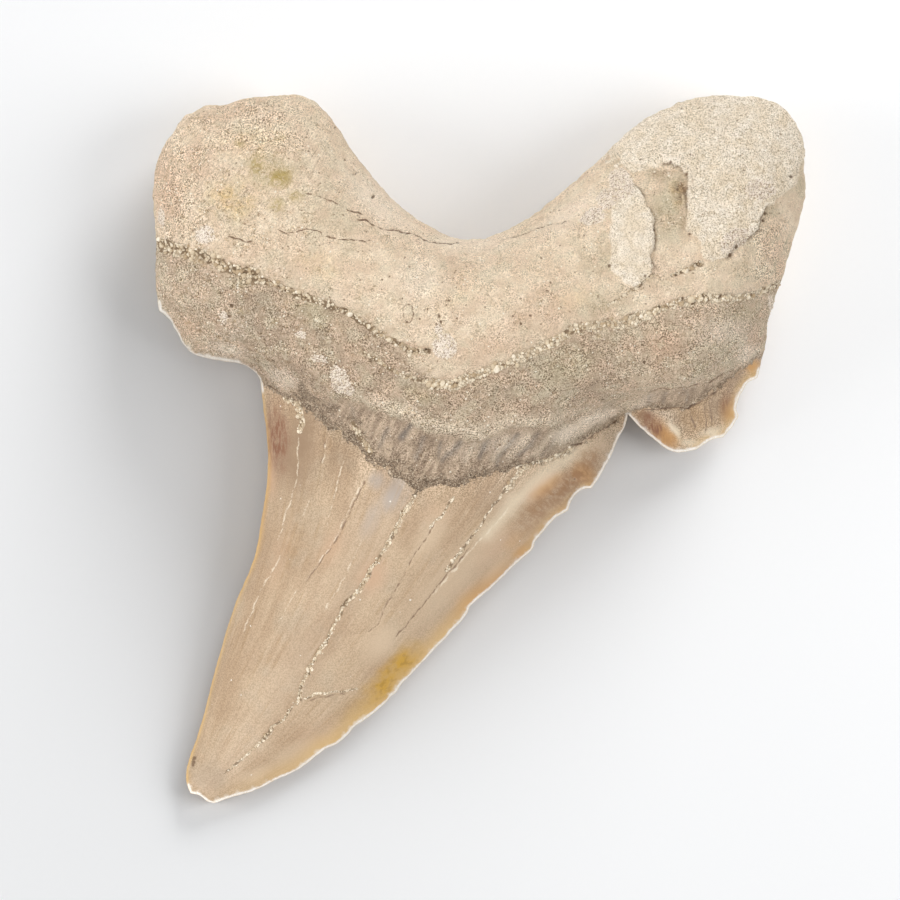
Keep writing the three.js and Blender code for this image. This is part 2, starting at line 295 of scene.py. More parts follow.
def inward_distance(rim, p):
    """Inside distance with no creases: true near the rim, and levelling off across a wide part."""
    total = np.zeros(len(p))
    for a, b in zip(rim, np.roll(rim, -1, 0)):
        d = b - a
        length = math.hypot(*d)
        d = d / length
        rel = p - a
        start = rel @ d
        height2 = np.maximum((rel ** 2).sum(1) - start ** 2, 1e-8)
        end = start - length
        total += (start / np.sqrt(start ** 2 + height2) - end / np.sqrt(end ** 2 + height2)) / height2
    return np.sqrt(2 / np.maximum(total, 1e-12))


coarse_rim = tooth_rim(COARSE_SPACING, False)
fine_rim = tooth_rim(FINE_SPACING, True)
lingual_neck = spline(LINGUAL_NECK, 1)
labial_neck = spline(LABIAL_NECK, 1.5)
mesial_guide = spline(MESIAL_GUIDE, 1.2)
distal_guide = spline(DISTAL_GUIDE, 1.2)


def side_distance(line, p):
    """Distance to a line, positive on its left."""
    dist, side, _ = line_distance(line, p)
    return dist * side


# ---- The two skins ------------------------------------------------------------------------
def rim_height(p):
    return (RIM["tip"] + (RIM["neck"] - RIM["tip"]) * smooth(-30, 0, p[:, 1])
            + (RIM["root"] - RIM["neck"]) * smooth(8, 20, p[:, 1]))


def crown_fullness(p, inward):
    """1 midway between the crown's two edges and 0 on each of them."""
    left = np.maximum(-side_distance(mesial_guide, p), inward)
    right = np.maximum(side_distance(distal_guide, p), inward)
    return 4 * left * right / np.maximum((left + right) ** 2, 1e-6)


def rounded_edge(inward, radius):
    t = 1 - np.minimum(inward / radius, 1)
    return np.sqrt(1 - t * t)


def crown_along(p):
    """0 at the crown's tip and 1 at its neck."""
    axis = NECK_POINT - TIP_POINT
    return np.clip((p - TIP_POINT) @ axis / (axis @ axis), 0, 1)


def blade_top(p, inward):
    rise = mix(CROWN_RISE["at_tip"], CROWN_RISE["at_neck"], crown_along(p) ** CROWN_RISE["power"])
    thinned = mix(1, 1 - np.exp(-inward / SHOULDER_EDGE), smooth(1, 5, p[:, 0]))
    crown = rise * crown_fullness(p, inward) ** FULLNESS["lingual"] * thinned
    cusplet = CUSPLET_RISE * (1 - np.exp(-inward / CUSPLET_ROUNDING))
    return rim_height(p) + mix(crown, cusplet, smooth(11.5, 14.5, p[:, 0]))


def root_top(p, inward):
    across = p[:, 0] - CREST["x"]
    past = p[:, 1] - (CREST["y"] + CREST["bow"] * across ** 2)
    fall = np.where(past > 0, CREST_FALL["to_lobes"], CREST_FALL["to_crown"])
    core = CREST["z"] - CREST_FALL["along"] * across ** 2 - fall * past ** 2
    rim = rim_height(p)
    return rim + (core - rim) * rounded_edge(inward, ROOT_ROUNDING["upper"])


def top_height(p, inward):
    over_neck = side_distance(lingual_neck, p)
    blade = blade_top(p, inward)
    band = mix(2.6, 4.8, smooth(-20, -10, p[:, 0])) - 2.4 * smooth(8, 15, p[:, 0])
    step = ENAMEL_STEP * smooth(0, 0.5, over_neck) * np.clip(inward / 0.5, 0, 1)
    root = mix(blade + step, root_top(p, inward), smooth(0, 1, over_neck / band))
    return np.where(over_neck < 0, blade, root)


def bottom_height(p, inward):
    rim = rim_height(p)
    crown = rim - (rim + PRESS) * crown_fullness(p, inward) ** FULLNESS["labial"]
    flank = rim - (rim - 0.5) * (1 - np.exp(-inward / 1.5))
    in_crown = (side_distance(mesial_guide, p) < 0) & (side_distance(distal_guide, p) > 0)
    blade = np.where(in_crown, np.minimum(crown, flank), flank)
    to_lobe = np.min([np.linalg.norm((p - lobe) / LOBE_REACH, axis=1) for lobe in LOBES], axis=0)
    sole = mix(-PRESS, ROOT_HOLLOW, smooth(0.1, 1, to_lobe))
    root = rim - (rim - sole) * rounded_edge(inward, ROOT_ROUNDING["lower"])
    return np.maximum(0, mix(blade, root, smooth(-0.4, 1.2, side_distance(labial_neck, p))))


# ---- Cracks, crust and stains: where each one is ------------------------------------------
# (width, depth, grains for each mm, share of dark gaps, points): cracks and seams with sand in them.
SAND_LINES = [
    (0.6, 0.5, 12, 0.35, [(-29, 18.6), (-28, 18.2), (-27, 18), (-26, 17.7), (-25, 17.4), (-24, 17.1),
      (-22.7, 16.4), (-21, 15.9), (-20, 15.4)]),
    (0.34, 0.3, 5, 0.35, [(-20, 15.4), (-18, 14.8), (-17, 14.2), (-15, 13.5), (-13.5, 12.9), (-12, 12.4),
      (-10, 11.1), (-8.2, 9.9), (-6, 8.8), (-4.6, 8.9)]),
    (0.22, 0.1, 4, 0.2, [(-10.3, 8.7), (-8.2, 7.4), (-6.6, 6.6), (-4.5, 5.9), (-2.4, 5.8)]),
    (0.5, 0.05, 7, 0.07, [(-4.5, 5.9), (-2.4, 5.8), (-0.3, 6.7), (1.9, 7.5), (4.2, 8.4), (6.5, 9.7),
      (8.4, 10.8), (11, 11.15), (13.4, 11.45), (14.3, 11.9)]),
    (0.4, 0.08, 9, 0.08, [(14.3, 11.9), (15.7, 12.5), (17.3, 13.1), (18.9, 13.3), (20.3, 13.6),
      (23.1, 13.6), (24.4, 13.8)]),
    (0.42, 0.15, 11, 0.2, [(24.4, 13.8), (25.8, 14.4), (27, 15.1)]),
    (0.13, 0.08, 5, 0.2, [(11.4, 12.9), (12.4, 13.5), (13.4, 14.1), (14.5, 15), (15.5, 15.7)]),
    (0.28, 0.12, 9, 0.3, [(17.2, 15.7), (18.5, 16.2), (19.7, 16.7)]),
    (0.2, 0.25, 12, 0.17, [(-5.8, -4), (-6.8, -5.7), (-7.7, -7.4), (-8.8, -9.3), (-9.9, -10.9),
      (-10.3, -11.8), (-10.9, -12.6), (-11.7, -13.4), (-12.3, -14.2), (-12.8, -15.2), (-13.9, -17.3),
      (-15.1, -19.2), (-15.6, -20.2), (-16, -21.2), (-16.4, -22.4)]),
    (0.15, 0.14, 7, 0.28, [(-16.4, -22.4), (-17.1, -23.4), (-17.8, -24.4), (-18.6, -25), (-19.3, -25.8),
      (-20.2, -26.8)]),
    (0.11, 0.06, 2, 0.4, [(-20.2, -26.8), (-21.4, -27.8), (-23, -29.2)]),
    (0.11, 0.05, 7, 0.1, [(-15.9, -22.3), (-14.6, -21.9), (-13, -21.65), (-11, -21.5)]),
    (0.28, 0.05, 12, 0.4, [(-11.4, 2.3), (-10.7, 1.1), (-9.9, -0.2)]),
    (0.16, 0.04, 8, 0.3, [(-1.5, -8.7), (-2.2, -9.7), (-3, -10.8)]),
    (0.3, 0.08, 9, 0.12, [(4.3, -1.4), (3.5, -2), (2.9, -2.8), (2.4, -3.6)]),
    (0.1, 0.1, 3, 0.4, [(2.4, -3.6), (1, -5.3), (-0.4, -7.4), (-1.7, -9.3)]),
    (0.12, 0.06, 3, 0.15, [(-2.4, -4.2), (-3.2, -5.6), (-4.4, -6.9)]),
    (0.15, 0.06, 4, 0.3, [(3.3, -1.6), (5.3, -1)]),
    (0.25, 0.06, 10, 0.1, [(5.3, -1), (6.4, -0.8), (7.5, -0.4), (8.3, 0.2)]),
    (0.27, 0.06, 12, 0.12, [(-17.5, 4.7), (-16.9, 4.5), (-16.4, 4), (-16, 3.2), (-15.9, 2.5),
      (-16.1, 1.8)]),
]
# (half width, depth, tone from -1 dark to 1 light, points): hair cracks.
HAIRLINES = [
    (0.065, 0.12, -1, [(-16, 23), (-14.7, 22.8), (-13.9, 22.5), (-13, 22.1), (-11.3, 21.4), (-10, 20.8)]),
    (0.07, 0.12, -1, [(-11.5, 20.7), (-10.3, 20.6), (-9.7, 20.2), (-8.8, 19.9), (-7, 19.6), (-5.3, 19.1),
      (-4.5, 18.7), (-3.5, 18.55), (-2, 18.65), (-0.6, 18.6)]),
    (0.07, 0.12, -1, [(-18.5, 20), (-17.2, 19.4), (-15.5, 19.8), (-14.5, 19.65), (-13.9, 19.2), (-13, 18.9),
      (-12, 18.75), (-9.5, 18.6)]),
    (0.08, 0.1, -0.9, [(-26.5, 20.1), (-25.6, 19.8), (-24.9, 19.6)]),
    (0.08, 0.1, -1, [(-23.3, 19.3), (-22.3, 19.1), (-20.8, 18.6), (-19.9, 18.5)]),
    (0.07, 0.12, -0.8, [(1.6, 18.9), (3.5, 19.3), (5, 19.8), (6, 20.2), (7, 20.4), (8.5, 20.7)]),
    (0.08, 0.1, -0.45, [(1.6, 18.6), (1.8, 17.4), (1.5, 16.4), (1, 15.6), (0.1, 14.3), (-0.2, 13.2)]),
    (0.07, 0.08, -0.9, [(-19.6, 6.4), (-18.6, 5.7), (-17.6, 5.1)]),
    (0.12, 0.03, 1, [(-20.7, 27.8), (-20.5, 27.1)]),
    (0.12, 0.03, 1, [(-26, 20.8), (-25.2, 21.1)]),
    (0.08, 0.04, 0.9, [(-16.3, 1.8), (-16.4, 0), (-16.4, -2.4), (-17.2, -5), (-18.3, -8.5)]),
    (0.09, 0.04, 0.9, [(-17.7, -9.1), (-18.3, -10.3), (-19.2, -11.7), (-20, -13.3), (-20.9, -15.3),
      (-21.5, -16.7)]),
    (0.07, 0.03, 0.6, [(-16.3, -12.2), (-17.3, -14), (-18.4, -16)]),
    (0.07, 0.04, -0.8, [(-13.4, 1.8), (-13.9, 0.4), (-14.2, -0.8), (-14.5, -1.9)]),
    (0.08, 0.03, 0.8, [(-13.6, 1), (-13.95, -0.1), (-14.2, -1.8)]),
    (0.07, 0.03, 0.75, [(-11.9, -0.3), (-12.5, -2), (-13, -4), (-13.5, -5.8), (-14, -7.4)]),
    (0.08, 0.03, 0.75, [(-15, -4), (-15.6, -5.2), (-16.3, -6.7)]),
    (0.08, 0.06, -1, [(-10.1, -2.3), (-10.9, -3.9), (-11.4, -4.9), (-12.3, -7), (-13.5, -9), (-14.6, -10.4),
      (-16, -12.3)]),
    (0.08, 0.03, 0.75, [(-10.35, -2.4), (-11.7, -5), (-12.6, -7.2), (-13.8, -9.2), (-14.9, -10.6)]),
    (0.1, 0.03, 0.65, [(-10.3, -7.6), (-11.4, -9.6), (-12.4, -11.9), (-13.5, -13.6), (-14.4, -15.2)]),
    (0.16, 0.02, 0.35, [(-10.9, -9), (-12.6, -12.2), (-14.4, -15.4)]),
    (0.07, 0.05, -0.85, [(-3.4, -5.8), (-4.6, -7.4), (-5.8, -9.3), (-6.8, -11.2), (-8.1, -13.4),
      (-9, -15.4), (-10.4, -16.6)]),
    (0.1, 0.03, 0.8, [(3.2, -4.6), (1.6, -6.4), (0.3, -7.8), (-2.3, -10.7), (-4.6, -13.5)]),
    (0.08, 0.05, -0.95, [(-0.2, -7.9), (-1.8, -9.9), (-3.3, -11.6), (-5.7, -14.7), (-7.8, -17.2)]),
    (0.1, 0.04, -0.7, [(-15.9, -22.6), (-14.4, -22.25), (-13.2, -22), (-11.5, -21.9)]),
    (0.11, 0.09, -1, [(18.95, 4), (19, 3.3), (19.25, 2.5), (19.5, 1.5)]),
    (0.09, 0.09, -1, [(14.3, 3.6), (16, 3.8), (18.9, 3.9), (20.7, 4.8), (21.8, 5.6), (22.4, 6.4)]),
    (0.3, 0.02, 0.45, [(16.7, 3.2), (17.2, 2.7), (17.5, 1.8), (18.1, 1)]),
    (0.08, 0.04, -1, [(20.3, 4.4), (20.3, 3), (20.4, 1.6), (20.2, 0.9)]),
    (0.08, 0.04, -1, [(20.8, 4.6), (20.9, 3), (20.9, 1.8)]),
    (0.07, 0.04, -0.9, [(21.4, 4.8), (21.6, 3.2)]),
    (0.06, 0.04, -0.6, [(19.6, 3.9), (19.7, 2.6), (19.4, 1.8)]),
    (0.07, 0.06, -0.9, [(8.1, 0.1), (9.3, 0.8), (10.4, 1.5), (11.6, 2.2), (13, 3.1)]),
    (0.1, 0.06, -0.75, [(14.6, 5.1), (16.5, 5.5), (18.8, 5.8), (20.6, 6.2), (22, 6.9), (23.4, 7.5)]),
    (0.05, 0.04, -0.5, [(23.5, 9), (24.3, 10.1)]),
    (0.05, 0.04, 0.5, [(23.7, 8.9), (24.6, 10)]),
]
# (half width, tone, points): soft stripes in the collar, grey-blue where the tone is below 0.
STRIPES = [
    (0.3, -0.9, [(-6.2, 2.2), (-7, 1.1)]), (0.22, -0.6, [(-8.3, 1.9), (-9, 0.2)]),
    (0.25, -0.6, [(-5, 1.1), (-5.7, -0.6)]), (0.16, -0.7, [(-3.5, 0.8), (-3.7, -0.6)]),
    (0.25, -0.7, [(-1.7, 0.8), (-3.3, -1)]), (0.25, -0.75, [(0.9, 1.2), (0, -0.6)]),
    (0.2, -0.8, [(3.3, 1.4), (1.7, -0.7), (1.5, -1.6)]), (0.22, -0.7, [(5.3, 1.4), (3.4, -0.6)]),
    (0.25, -0.6, [(7.8, 2), (5.6, -0.4)]), (0.25, -0.5, [(10.4, 2.9), (8, 0.9)]),
    (0.3, 0.6, [(2.5, 1), (1.2, -0.9)]), (0.35, 0.6, [(4.4, 1.3), (2.7, -0.7)]),
    (0.3, 0.5, [(-0.4, 0.7), (-1.4, -0.9)]), (0.3, 0.5, [(6.8, 1.7), (4.8, -0.4)]),
    (0.16, -0.6, [(15.2, 4.9), (15.3, 4.1)]), (0.16, -0.6, [(16.6, 5.1), (16.6, 4.2)]),
    (0.16, -0.5, [(18.6, 5.2), (18.7, 4.2)]), (0.2, -0.4, [(-15.8, 5.9), (-15.6, 4.4)]),
    (0.2, -0.5, [(-13.6, 5.2), (-13.2, 3.4)]), (0.2, -0.4, [(-11.6, 4.4), (-11.2, 2.2)]),
]
# (x, y, radius, depth): pits.
PITS = [
    (-2.2, 15.8, 0.14, 0.2), (-2.25, 15.4, 0.12, 0.2), (-2.7, 13.4, 0.14, 0.2), (-2.9, 13, 0.13, 0.2),
    (-3.6, 12, 0.2, 0.2), (-3.4, 11.5, 0.2, 0.2), (-3.9, 11.3, 0.15, 0.2), (-6.9, 13.5, 0.13, 0.15),
    (-4.6, 12.6, 0.12, 0.15), (-5.4, 11.6, 0.12, 0.15), (-2.05, 11.7, 0.14, 0.15), (-6.5, 11.3, 0.2, 0.15),
    (-4.9, 9, 0.2, 0.2), (-9.3, 22.8, 0.2, 0.2), (-11.1, 24.8, 0.12, 0.15), (-12, 26, 0.13, 0.15),
    (-13, 29, 0.14, 0.15), (-20, 30, 0.14, 0.15), (-19.4, 29.6, 0.12, 0.15), (-12.5, 23.1, 0.12, 0.12),
    (-16.75, 14, 0.17, 0.2), (-17.4, 14.2, 0.13, 0.2), (-8.05, 15.6, 0.16, 0.15), (-8.8, 15.3, 0.13, 0.15),
    (-22.2, 13, 0.25, 0.2), (-22.5, 12, 0.2, 0.2), (18.9, 13.4, 0.5, 0.3), (18.1, 13.5, 0.2, 0.2),
    (21.5, 13.8, 0.22, 0.2), (16, 12.8, 0.25, 0.2), (19.2, 16.6, 0.22, 0.2), (17.6, 15.7, 0.2, 0.2),
    (18.5, 24.8, 0.2, 0.25), (17.1, 25.7, 0.2, 0.2), (17.6, 23.4, 0.16, 0.12), (17.9, 22.7, 0.14, 0.12),
    (18.7, 19.4, 0.18, 0.2), (25.6, 21.3, 0.2, 0.3), (25.5, 20.6, 0.2, 0.3), (23, 18.2, 0.25, 0.2),
    (22.3, 17.5, 0.25, 0.2), (23.6, 25, 0.16, 0.2), (23.3, 26.2, 0.12, 0.15), (27.8, 24.6, 0.18, 0.2),
    (18.4, 31.2, 0.14, 0.15), (18.9, 26.3, 0.16, 0.15), (11.6, 16.5, 0.2, 0.15), (15.55, 19.6, 0.15, 0.2),
    (4.5, 12, 0.25, 0.08), (5.9, 14.2, 0.2, 0.08), (6.3, 14.9, 0.16, 0.08), (3.6, 11.2, 0.2, 0.08),
    (2.9, 11.9, 0.15, 0.08), (-25.75, -27.75, 0.3, 0.15), (-25.85, -28.15, 0.32, 0.15),
    (-25.95, -28.5, 0.22, 0.1), (8.7, -2.7, 0.12, 0.02), (14.7, 7.8, 0.2, 0.1),
]
# The raised ring on the middle of the root.
RING = dict(x=-6.35, y=12.1, half_width=0.5, half_height=0.85)
# Where the enamel ends, and the upper edge of the striped collar above it.
ENAMEL_LINE = [
    (-21, 6.6), (-19.7, 6.2), (-19, 5.8), (-18.4, 5.3), (-17.6, 5), (-16.9, 4.7), (-16.3, 4), (-15, 3.2),
    (-14.2, 2.7), (-13.5, 2.1), (-12.6, 2), (-12, 1.2), (-11.2, 0.5), (-10.5, -0.2), (-9.8, -0.9),
    (-9, -1.2), (-8, -1.4), (-7.7, -2.3), (-7, -2.7), (-6.2, -2.8), (-5.8, -4), (-5, -3.4), (-3.5, -3.1),
    (-1.8, -3.2), (-0.5, -2.5), (1.5, -2), (3.5, -1.4), (5.5, -1.05), (7.5, -0.4), (8.2, 0), (9.2, 0.8),
    (10.2, 1.5), (11.2, 2), (12.3, 2.6), (13.2, 3.3), (14, 3.6), (15.5, 3.95), (17.5, 3.9), (18.8, 4),
    (19.5, 4.4), (20.5, 5), (21.5, 5.6), (22.2, 6.2), (23.5, 7.1), (26, 9),
]
BOURLETTE_LINE = [
    (-21, 6.7), (-19, 6), (-16.5, 4.7), (-12, 4.5), (-10, 3.9), (-8, 3.1), (-6.5, 2.9), (-5.5, 2.1),
    (-4, 1.7), (-1, 1.1), (0.5, 1), (1.7, 1.4), (2.7, 2), (6, 2.1), (7.5, 2.4), (9, 2.9), (11, 3.3),
    (13, 3.6), (15.3, 5.4), (17.5, 5.6), (20.2, 6), (21.2, 6.4), (22.2, 7), (23.3, 7.5), (24.2, 7.6),
    (26, 9.2),
]
# Upper border of the darker band between the root's dome and the crown.
BAND_TOP = [
    (-29, 18.6), (-26, 17.7), (-22.7, 16.4), (-18, 14.8), (-12, 12.4), (-8.2, 9.9), (-4.5, 6.4),
    (-2.4, 5.8), (1.9, 7.5), (6.5, 9.7), (11, 11.15), (15.7, 12.5), (20.3, 13.6), (25.8, 14.4), (29, 16),
]
# The sheet of cemented sand on the right lobe, and the tongue of it beside the bare window.
CRUST_SHEET = [
    (11.6, 25.9), (13.2, 25), (14.4, 24.8), (15.5, 25.2), (16.4, 25.7), (17.2, 25.6), (18, 25.1),
    (18.6, 24.6), (18.5, 23), (18.5, 21.5), (18.3, 19.8), (18.7, 19.3), (19.7, 18.6), (19.8, 17.1),
    (20.9, 16.9), (22, 17.3), (22.7, 18.2), (23.6, 18.8), (24.9, 19.9), (25.1, 21), (25.5, 21.8),
    (26.2, 22), (27, 22.8), (28.4, 23.9), (28.7, 25.8), (29.5, 26.6), (32, 27), (31, 34), (15, 34),
    (14.2, 31), (12.6, 29.8), (11.9, 28.3), (10.4, 27.4),
]
CRUST_BLOB = [
    (13.8, 23.7), (14.6, 22.6), (15.3, 21.4), (15.6, 20.7), (15.5, 19.8), (15.6, 18.8), (15.3, 17.3),
    (15.5, 16.3), (15.3, 15.5), (14.4, 14.8), (13.9, 14.6), (12.9, 14.9), (11.8, 16.1), (11.6, 17.2),
    (11.6, 18.8), (11.7, 19.8), (11.6, 21), (12.1, 22.2), (12.9, 23.4),
]
# Where the crust breaks off steeply, with a painted shadow along the foot of each step.
CRUST_SHADOWS = [CRUST_BLOB[:9], CRUST_SHEET[4:11], CRUST_SHEET[15:21]]
# Dusty white residue with no edge of its own: x, y, half width, half height, turn, thickness.
POWDER = [
    (12.7, 23.8, 1.5, 2, 10, 1), (10, 20.9, 1.9, 0.95, 25, 1), (11.4, 22.4, 1.3, 1.3, 0, 1),
    (22.6, 18.8, 2.4, 1.2, 35, 1), (24.9, 23.2, 2.2, 1.3, 0, 1), (-24.6, 19.3, 1.15, 1, 0, 1.7),
    (-28.6, 21, 0.5, 1.3, 0, 1), (-12.5, 6.5, 1.1, 1.7, 25, 1), (-11.6, 5.6, 0.6, 0.9, 30, 1),
    (-3.1, 9.2, 1.4, 1.5, 0, 1.6), (-3.6, 10.8, 0.5, 0.9, 0, 1), (26.4, 12.6, 0.5, 1.9, 14, 1),
    (-15.9, 10.3, 0.7, 0.4, -20, 1), (-22.9, 12, 0.5, 0.7, 0, 1), (-14.4, 8.2, 1.1, 0.4, -15, 1),
]


def warped(p):
    """The plan with a fine waver, so that drawn lines and borders look broken and not drawn."""
    return p + 0.16 * wobble(p, 200, 1.3, 0.45, 0.5)


turns = np.linspace(0, 2 * math.pi, 25)
ring_line = np.stack([RING["x"] + RING["half_width"] * np.cos(turns),
                      RING["y"] + RING["half_height"] * np.sin(turns)], 1)

# ---- The plan of the mesh -----------------------------------------------------------------
PLAN_REACH = 36
LATTICE_REACH = 34
RASTER = 0.06
RASTER_SIDE = int(2 * PLAN_REACH / RASTER)
DETAIL_REACH = 0.5
UPPER_SPACING = 0.225
DETAIL_SPACING = 0.115
LOWER_SPACING = 0.42
UPPER_DEPTHS = (0.008, 0.03, 0.07, 0.12, 0.19, 0.28)
LOWER_DEPTHS = (0.01, 0.045, 0.11, 0.2, 0.33)


def raster_cell(p):
    return np.clip(((p + PLAN_REACH) / RASTER).astype(int), 0, RASTER_SIDE - 1)


def close_to(marks, radius):
    """A test for points that lie within a radius of any of the marks, to about a tenth of a mm."""
    grid = np.zeros((RASTER_SIDE, RASTER_SIDE), bool)
    n = int(radius / RASTER) + 1
    cells = raster_cell(marks)
    for i in range(-n, n + 1):
        for j in range(-n, n + 1):
            if math.hypot(i, j) * RASTER <= radius:
                at = np.clip(cells + (i, j), 0, RASTER_SIDE - 1)
                grid[at[:, 0], at[:, 1]] = True
    return lambda p: grid[tuple(raster_cell(p).T)]


def lattice(spacing, seed):
    """A triangular lattice with its points shifted a little at random."""
    row = spacing * math.sqrt(3) / 2
    columns, rows = int(LATTICE_REACH / spacing), int(LATTICE_REACH / row)
    i, j = np.meshgrid(np.arange(-columns, columns + 1), np.arange(-rows, rows + 1))
    points = np.stack([(i + 0.5 * (j & 1)) * spacing, j * row], -1).reshape(-1, 2)
    return points + np.random.default_rng(seed).normal(0, spacing * 0.07, points.shape)


def edge_rows(rim, depths):
    """Rows of points along the rim at the given distances in."""
    along = np.roll(rim, -1, 0) - np.roll(rim, 1, 0)
    inwards = np.stack([-along[:, 1], along[:, 0]], 1) / np.linalg.norm(along, axis=1)[:, None]
    rows = []
    for depth in depths:
        row = rim + inwards * depth
        rows.append(row[inside_depth(rim, row) > depth * 0.6])
    return np.vstack(rows)


def plan_points(rim, depths, spacing, fine_spacing=None):
    """The rim, rows beside it, a lattice inside it, and a finer lattice along the drawn lines."""
    near_rim = close_to(rim, depths[-1] + spacing * 0.5)
    coarse = lattice(spacing, 1)
    coarse = coarse[inside(rim, coarse)]
    coarse = coarse[~near_rim(coarse)]
    parts = [rim, edge_rows(rim, depths)]
    if fine_spacing:
        lines = [entry[-1] for entry in SAND_LINES + HAIRLINES] + [ENAMEL_LINE, ring_line]
        lines += [CRUST_SHEET + CRUST_SHEET[:1], CRUST_BLOB + CRUST_BLOB[:1]]
        marks = [resampled(np.array(line, float), 0.1) for line in lines]
        detailed = close_to(np.vstack(marks + [np.array(PITS)[:, :2]]), DETAIL_REACH)
        fine = lattice(fine_spacing, 2)
        fine = fine[detailed(fine)]
        fine = fine[inside(rim, fine)]
        parts.append(fine[~near_rim(fine)])
        coarse = coarse[~detailed(coarse)]
    return np.vstack(parts + [coarse])


def triangulated(points, rim_count):
    """The triangles between plan points, inside the rim."""
    found = delaunay_2d_cdt([tuple(p) for p in points.tolist()], [], [list(range(rim_count))], 1, 1e-7)
    plan = np.array([tuple(v) for v in found[0]])
    faces = np.array(found[2])
    a, b, c = (plan[faces[:, k]] for k in range(3))
    turn = (b[:, 0] - a[:, 0]) * (c[:, 1] - a[:, 1]) - (b[:, 1] - a[:, 1]) * (c[:, 0] - a[:, 0])
    faces[turn < 0] = faces[turn < 0][:, ::-1]
    return plan, faces


rim_count = len(fine_rim)
upper_points = plan_points(fine_rim, UPPER_DEPTHS, UPPER_SPACING, DETAIL_SPACING)
upper_plan, upper_faces = triangulated(upper_points, rim_count)
lower_plan, lower_faces = triangulated(plan_points(fine_rim, LOWER_DEPTHS, LOWER_SPACING), rim_count)
assert np.allclose(upper_plan[:rim_count], fine_rim) and np.allclose(lower_plan[:rim_count], fine_rim)


def skin(plan, height):
    """(points of a skin, their distance in from the rim)."""
    inward = inward_distance(fine_rim, plan)
    inward[:rim_count] = 0
    z = np.where(np.arange(len(plan)) < rim_count, rim_height(plan), height(plan, inward))
    return np.column_stack([plan, z]), inward


upper, upper_inward = skin(upper_plan, top_height)
lower, lower_inward = skin(lower_plan, bottom_height)
on_top = np.concatenate([np.ones(len(upper), bool), np.zeros(len(lower) - rim_count, bool)])
base = np.vstack([upper, lower[rim_count:]])
inward = np.concatenate([upper_inward, lower_inward[rim_count:]])
lowered = np.where(lower_faces < rim_count, lower_faces, lower_faces + len(upper) - rim_count)
faces = np.vstack([upper_faces, lowered[:, ::-1]])
plan = base[:, :2]


def vertex_normals(points, faces):
    a, b, c = (points[faces[:, k]] for k in range(3))
    face_normal = np.cross(b - a, c - a)
    total = np.stack([sum(np.bincount(faces[:, k], face_normal[:, axis], len(points)) for k in range(3))
                      for axis in range(3)], 1)
    return total / np.maximum(np.linalg.norm(total, axis=1), 1e-12)[:, None]


# ---- Where each kind of surface is --------------------------------------------------------
masks = {}
broken = warped(plan)
neck = np.where(on_top, above(ENAMEL_LINE, broken), above(labial_neck, broken))
bourlette = np.where(on_top, above(BOURLETTE_LINE, broken), neck)
collar = on_top * smooth(-0.1, 0.25, neck) * smooth(0.1, -0.5, bourlette)
enamel = smooth(0.1, -0.1, neck)
root = 1 - enamel


def near(away, width, power=2):
    """1 where the distance is 0, fading over about a width; on the lingual face only."""
    return on_top * np.exp(-(away / width) ** power)


def lay(name, strength):
    """Raise a mask to this strength wherever it is weaker."""
    masks[name] = np.maximum(masks.get(name, 0), strength)


gaps, sand_relief, hair_relief = np.zeros((3, len(plan)))
wide = np.clip(1 + 0.6 * noise(base + 71, 1.5) + 0.5 * noise(base + 75, 0.45), 0.25, 2)
rough = np.clip(0.65 + 0.6 * noise(base + 11, 0.7), 0.1, 1.3)
for width, depth, _, dark_share, points in SAND_LINES:
    away = line_distance(points, broken, 2)[0]
    close = near(away, width * wide)
    gaps = np.where(close > masks.get("sand", 0), dark_share, gaps)
    lay("sand", close)
    sand_relief = np.minimum(sand_relief, -depth * rough * near(away, 0.6 * width))

wavering = 0.7 + 0.3 * smooth(-0.35, 0.15, noise(base + 57, 0.8))
for half_width, depth, tone, points in HAIRLINES:
    away, side, along = line_distance(points, broken, 1)
    length = np.linalg.norm(np.diff(np.array(points, float), axis=0), axis=1).sum()
    ends = smooth(0, 0.8, along) * smooth(0, 0.8, length - along) * wavering
    close = near(away, half_width) * ends
    hair_relief = np.minimum(hair_relief, -depth * close)
    lay("hair_dark" if tone < 0 else "hair_light", abs(tone) * close)
    # A light line along one lip of each dark crack: a painted highlight.
    if tone < 0:
        highlit_lip = near(side * away - 2.1 * half_width, 0.9 * half_width)
        lay("hair_light", -0.3 * tone * highlit_lip * ends)
ring = line_distance(ring_line, broken, 1)[0]
lay("hair_dark", 0.65 * near(ring, 0.08))
hair_relief += 0.06 * near(ring - 0.15, 0.1)
for x, y, radius, depth in PITS:
    close = near(np.hypot(broken[:, 0] - x, broken[:, 1] - y), radius)
    lay("pit", close)
    hair_relief = np.minimum(hair_relief, -depth * close)
for half_width, tone, points in STRIPES:
    away = line_distance(points, broken, 2)[0]
    lay("stripe_dark" if tone < 0 else "stripe_light", abs(tone) * near(away, half_width))
for edge in CRUST_SHADOWS:
    lay("crust_shadow", near(line_distance(edge, broken, 1)[0], 0.2))


def along_edges(stretches, reach):
    """1 on the given stretches of the rim, 0 further than a reach from them."""
    away = np.min([line_distance(spline(stretch, 0.4), plan, 2 * reach)[0] for stretch in stretches], axis=0)
    return smooth(reach, 0, away)


def zones(patches, core=0.9):
    """The strongest of several soft ellipses: (x, y, half width, half height, turn, strength)."""
    return on_top * np.max([amount * smooth(0, core, blob(broken, x, y, rx, ry, turn))
                            for x, y, rx, ry, turn, amount in patches], axis=0)


crust = np.maximum(inside_depth(CRUST_SHEET, broken), inside_depth(CRUST_BLOB, broken))
crust = np.where(on_top, crust, -9)
crust += zones([(11.2, 25.6, 2.6, 2.6, 0, 1)]) * (1.6 * noise(base + 91, 0.6) - 0.2)
powder = zones(POWDER, 0.7)

